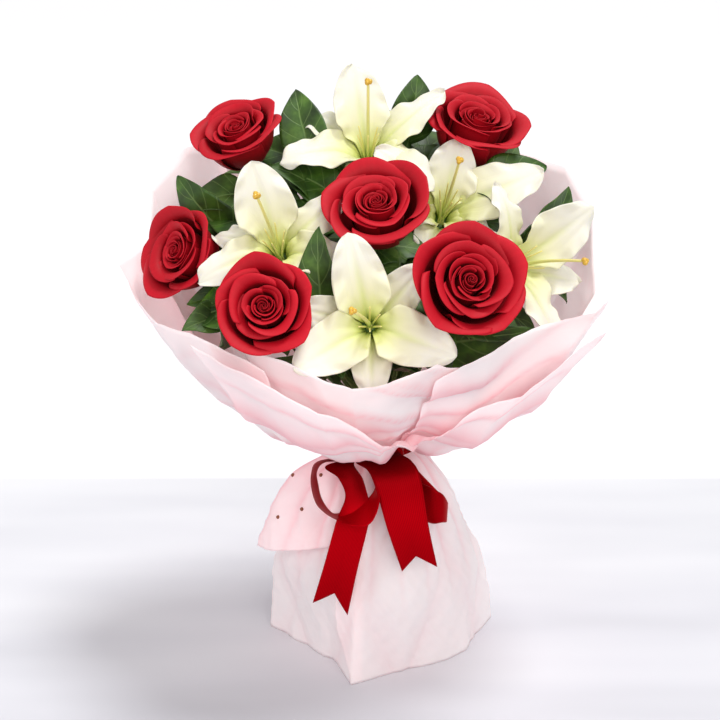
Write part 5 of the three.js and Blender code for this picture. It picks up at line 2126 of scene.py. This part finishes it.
BOW = [
    Ribbon("ribbon_left_tail", [
        ((22, -50, 208), (30, -50, 208)), ((-29, -66, 203), (-4, -64, 206)),
        ((-19, -74, 194), (3, -74, 192)), ((-13, -80, 179), (9, -82, 169)),
        ((-21, -87, 158), (7, -89, 154)), ((-31, -95, 122), (-2, -97, 117)),
        ((-42, -102, 85), (-11, -103, 73)),
    ], (0.03, 0.165), notch=16.0),
    Ribbon("ribbon_right_tail", [
        ((25, -50, 210), (35, -50, 210)), ((-3, -68, 208), (35, -64, 213)),
        ((7, -76, 202), (45, -72, 210)), ((14, -85, 188), (53, -82, 198)),
        ((24, -94, 154), (60, -92, 157)), ((37, -101, 116), (68, -100, 120)),
    ], (0.034, 0.125), notch=13.0),
    Ribbon("ribbon_left_loop", [
        ((22, -52, 212), (24, -47, 202)), ((-21, -72, 213), (-17, -62, 205)),
        ((-38, -86, 215), (-32, -68, 206)), ((-42, -94, 208), (-38, -66, 196)),
        ((-42, -98, 197), (-37, -68, 186)), ((-38, -101, 183), (-34, -71, 173)),
        ((-30, -102, 174), (-27, -75, 163)), ((-20, -101, 167), (-20, -77, 161)),
        ((-6, -101, 161), (-6, -78, 168)), ((8, -100, 162), (8, -77, 177)),
        ((16, -94, 175), (14, -72, 186)), ((18, -80, 191), (15, -62, 193)),
        ((19, -62, 202), (20, -54, 198)), ((26, -54, 211), (27, -48, 202)),
    ], (0.03, 0.18)),
    Ribbon("ribbon_right_loop", [
        ((32, -52, 212), (30, -50, 202)), ((35, -64, 207), (30, -64, 183)),
        ((51, -68, 189), (45, -70, 158)), ((64, -76, 185), (62, -80, 153)),
        ((73, -76, 179), (72, -81, 154)), ((78, -69, 167), (77, -73, 151)),
        ((74, -60, 169), (73, -62, 153)), ((57, -55, 186), (56, -57, 162)),
        ((34, -50, 210), (33, -48, 200)),
    ], (0.026, 0.155)),
]


def dress_node(node: str, finish: Material) -> None:
    """Gives a solid that stays visible its finish.

    Args:
        node: the solid's name.
        finish: the finish.
    """
    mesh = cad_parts[node].data
    mesh.materials.clear()
    mesh.materials.append(finish)
    LOG.info("%s: dressed with %s", node, finish.name)


def main() -> None:
    """Builds the bouquet piece by piece, from the flowers down to the base, and the studio."""
    logging.basicConfig(level=logging.INFO, format="%(message)s")
    rose, lily, leaf = RosePetalFinish().material(), LilyPetalFinish().material(), LeafFinish().material()
    stem, style, stigma = StemFinish().material(), PistilFinish().material(), StigmaFinish().material()
    paper, satin = WrapPaperFinish().material(), SatinFinish().material()

    tops = [r.facing.origin for r in ROSES] + [f.facing.origin for f in LILIES]
    tops += [np.array(branch.top, float) for branch in LEAF_STEMS]
    slots = assign_slots(tops)
    for bloom, slot in zip(ROSES, slots):
        bloom.build_bloom(rose)
        bloom.build_stem(slot, stem)
    for bloom, slot in zip(LILIES, slots[len(ROSES) :]):
        bloom.build_bloom(lily)
        bloom.build_pistil(style, stigma)
        bloom.build_stem(slot, stem)
    for branch, slot in zip(LEAF_STEMS, slots[len(ROSES) + len(LILIES) :]):
        branch.build(slot, leaf, stem)

    rooms = [Clearance(bloom.facing, back=10, free=35, slope=0.8, limit=75) for bloom in ROSES]
    rooms += [Clearance(bloom.facing, back=25, free=0, slope=0.6, limit=95) for bloom in LILIES]
    Foliage(rooms).build(leaf, stem)
    neck = NeckBand()
    neck.build_band(satin)
    for sheet in COLLAR:
        sheet.build(paper)
    for sheet in SKIRT_SHEETS:
        SKIRT.build_sheet(sheet, paper)
    SKIRT.build_flap(paper)
    SKIRT.build_studs(STUDS, StudFinish().material())
    neck.build_knot(satin)
    build_ribbon(BOW, satin)
    dress_node("binding_twine", TwineFinish().material())
    dress_node("water_bag", WaterBagFinish().material())

    Studio().build(FloorFinish().material())


if __name__ == "__main__":
    main()
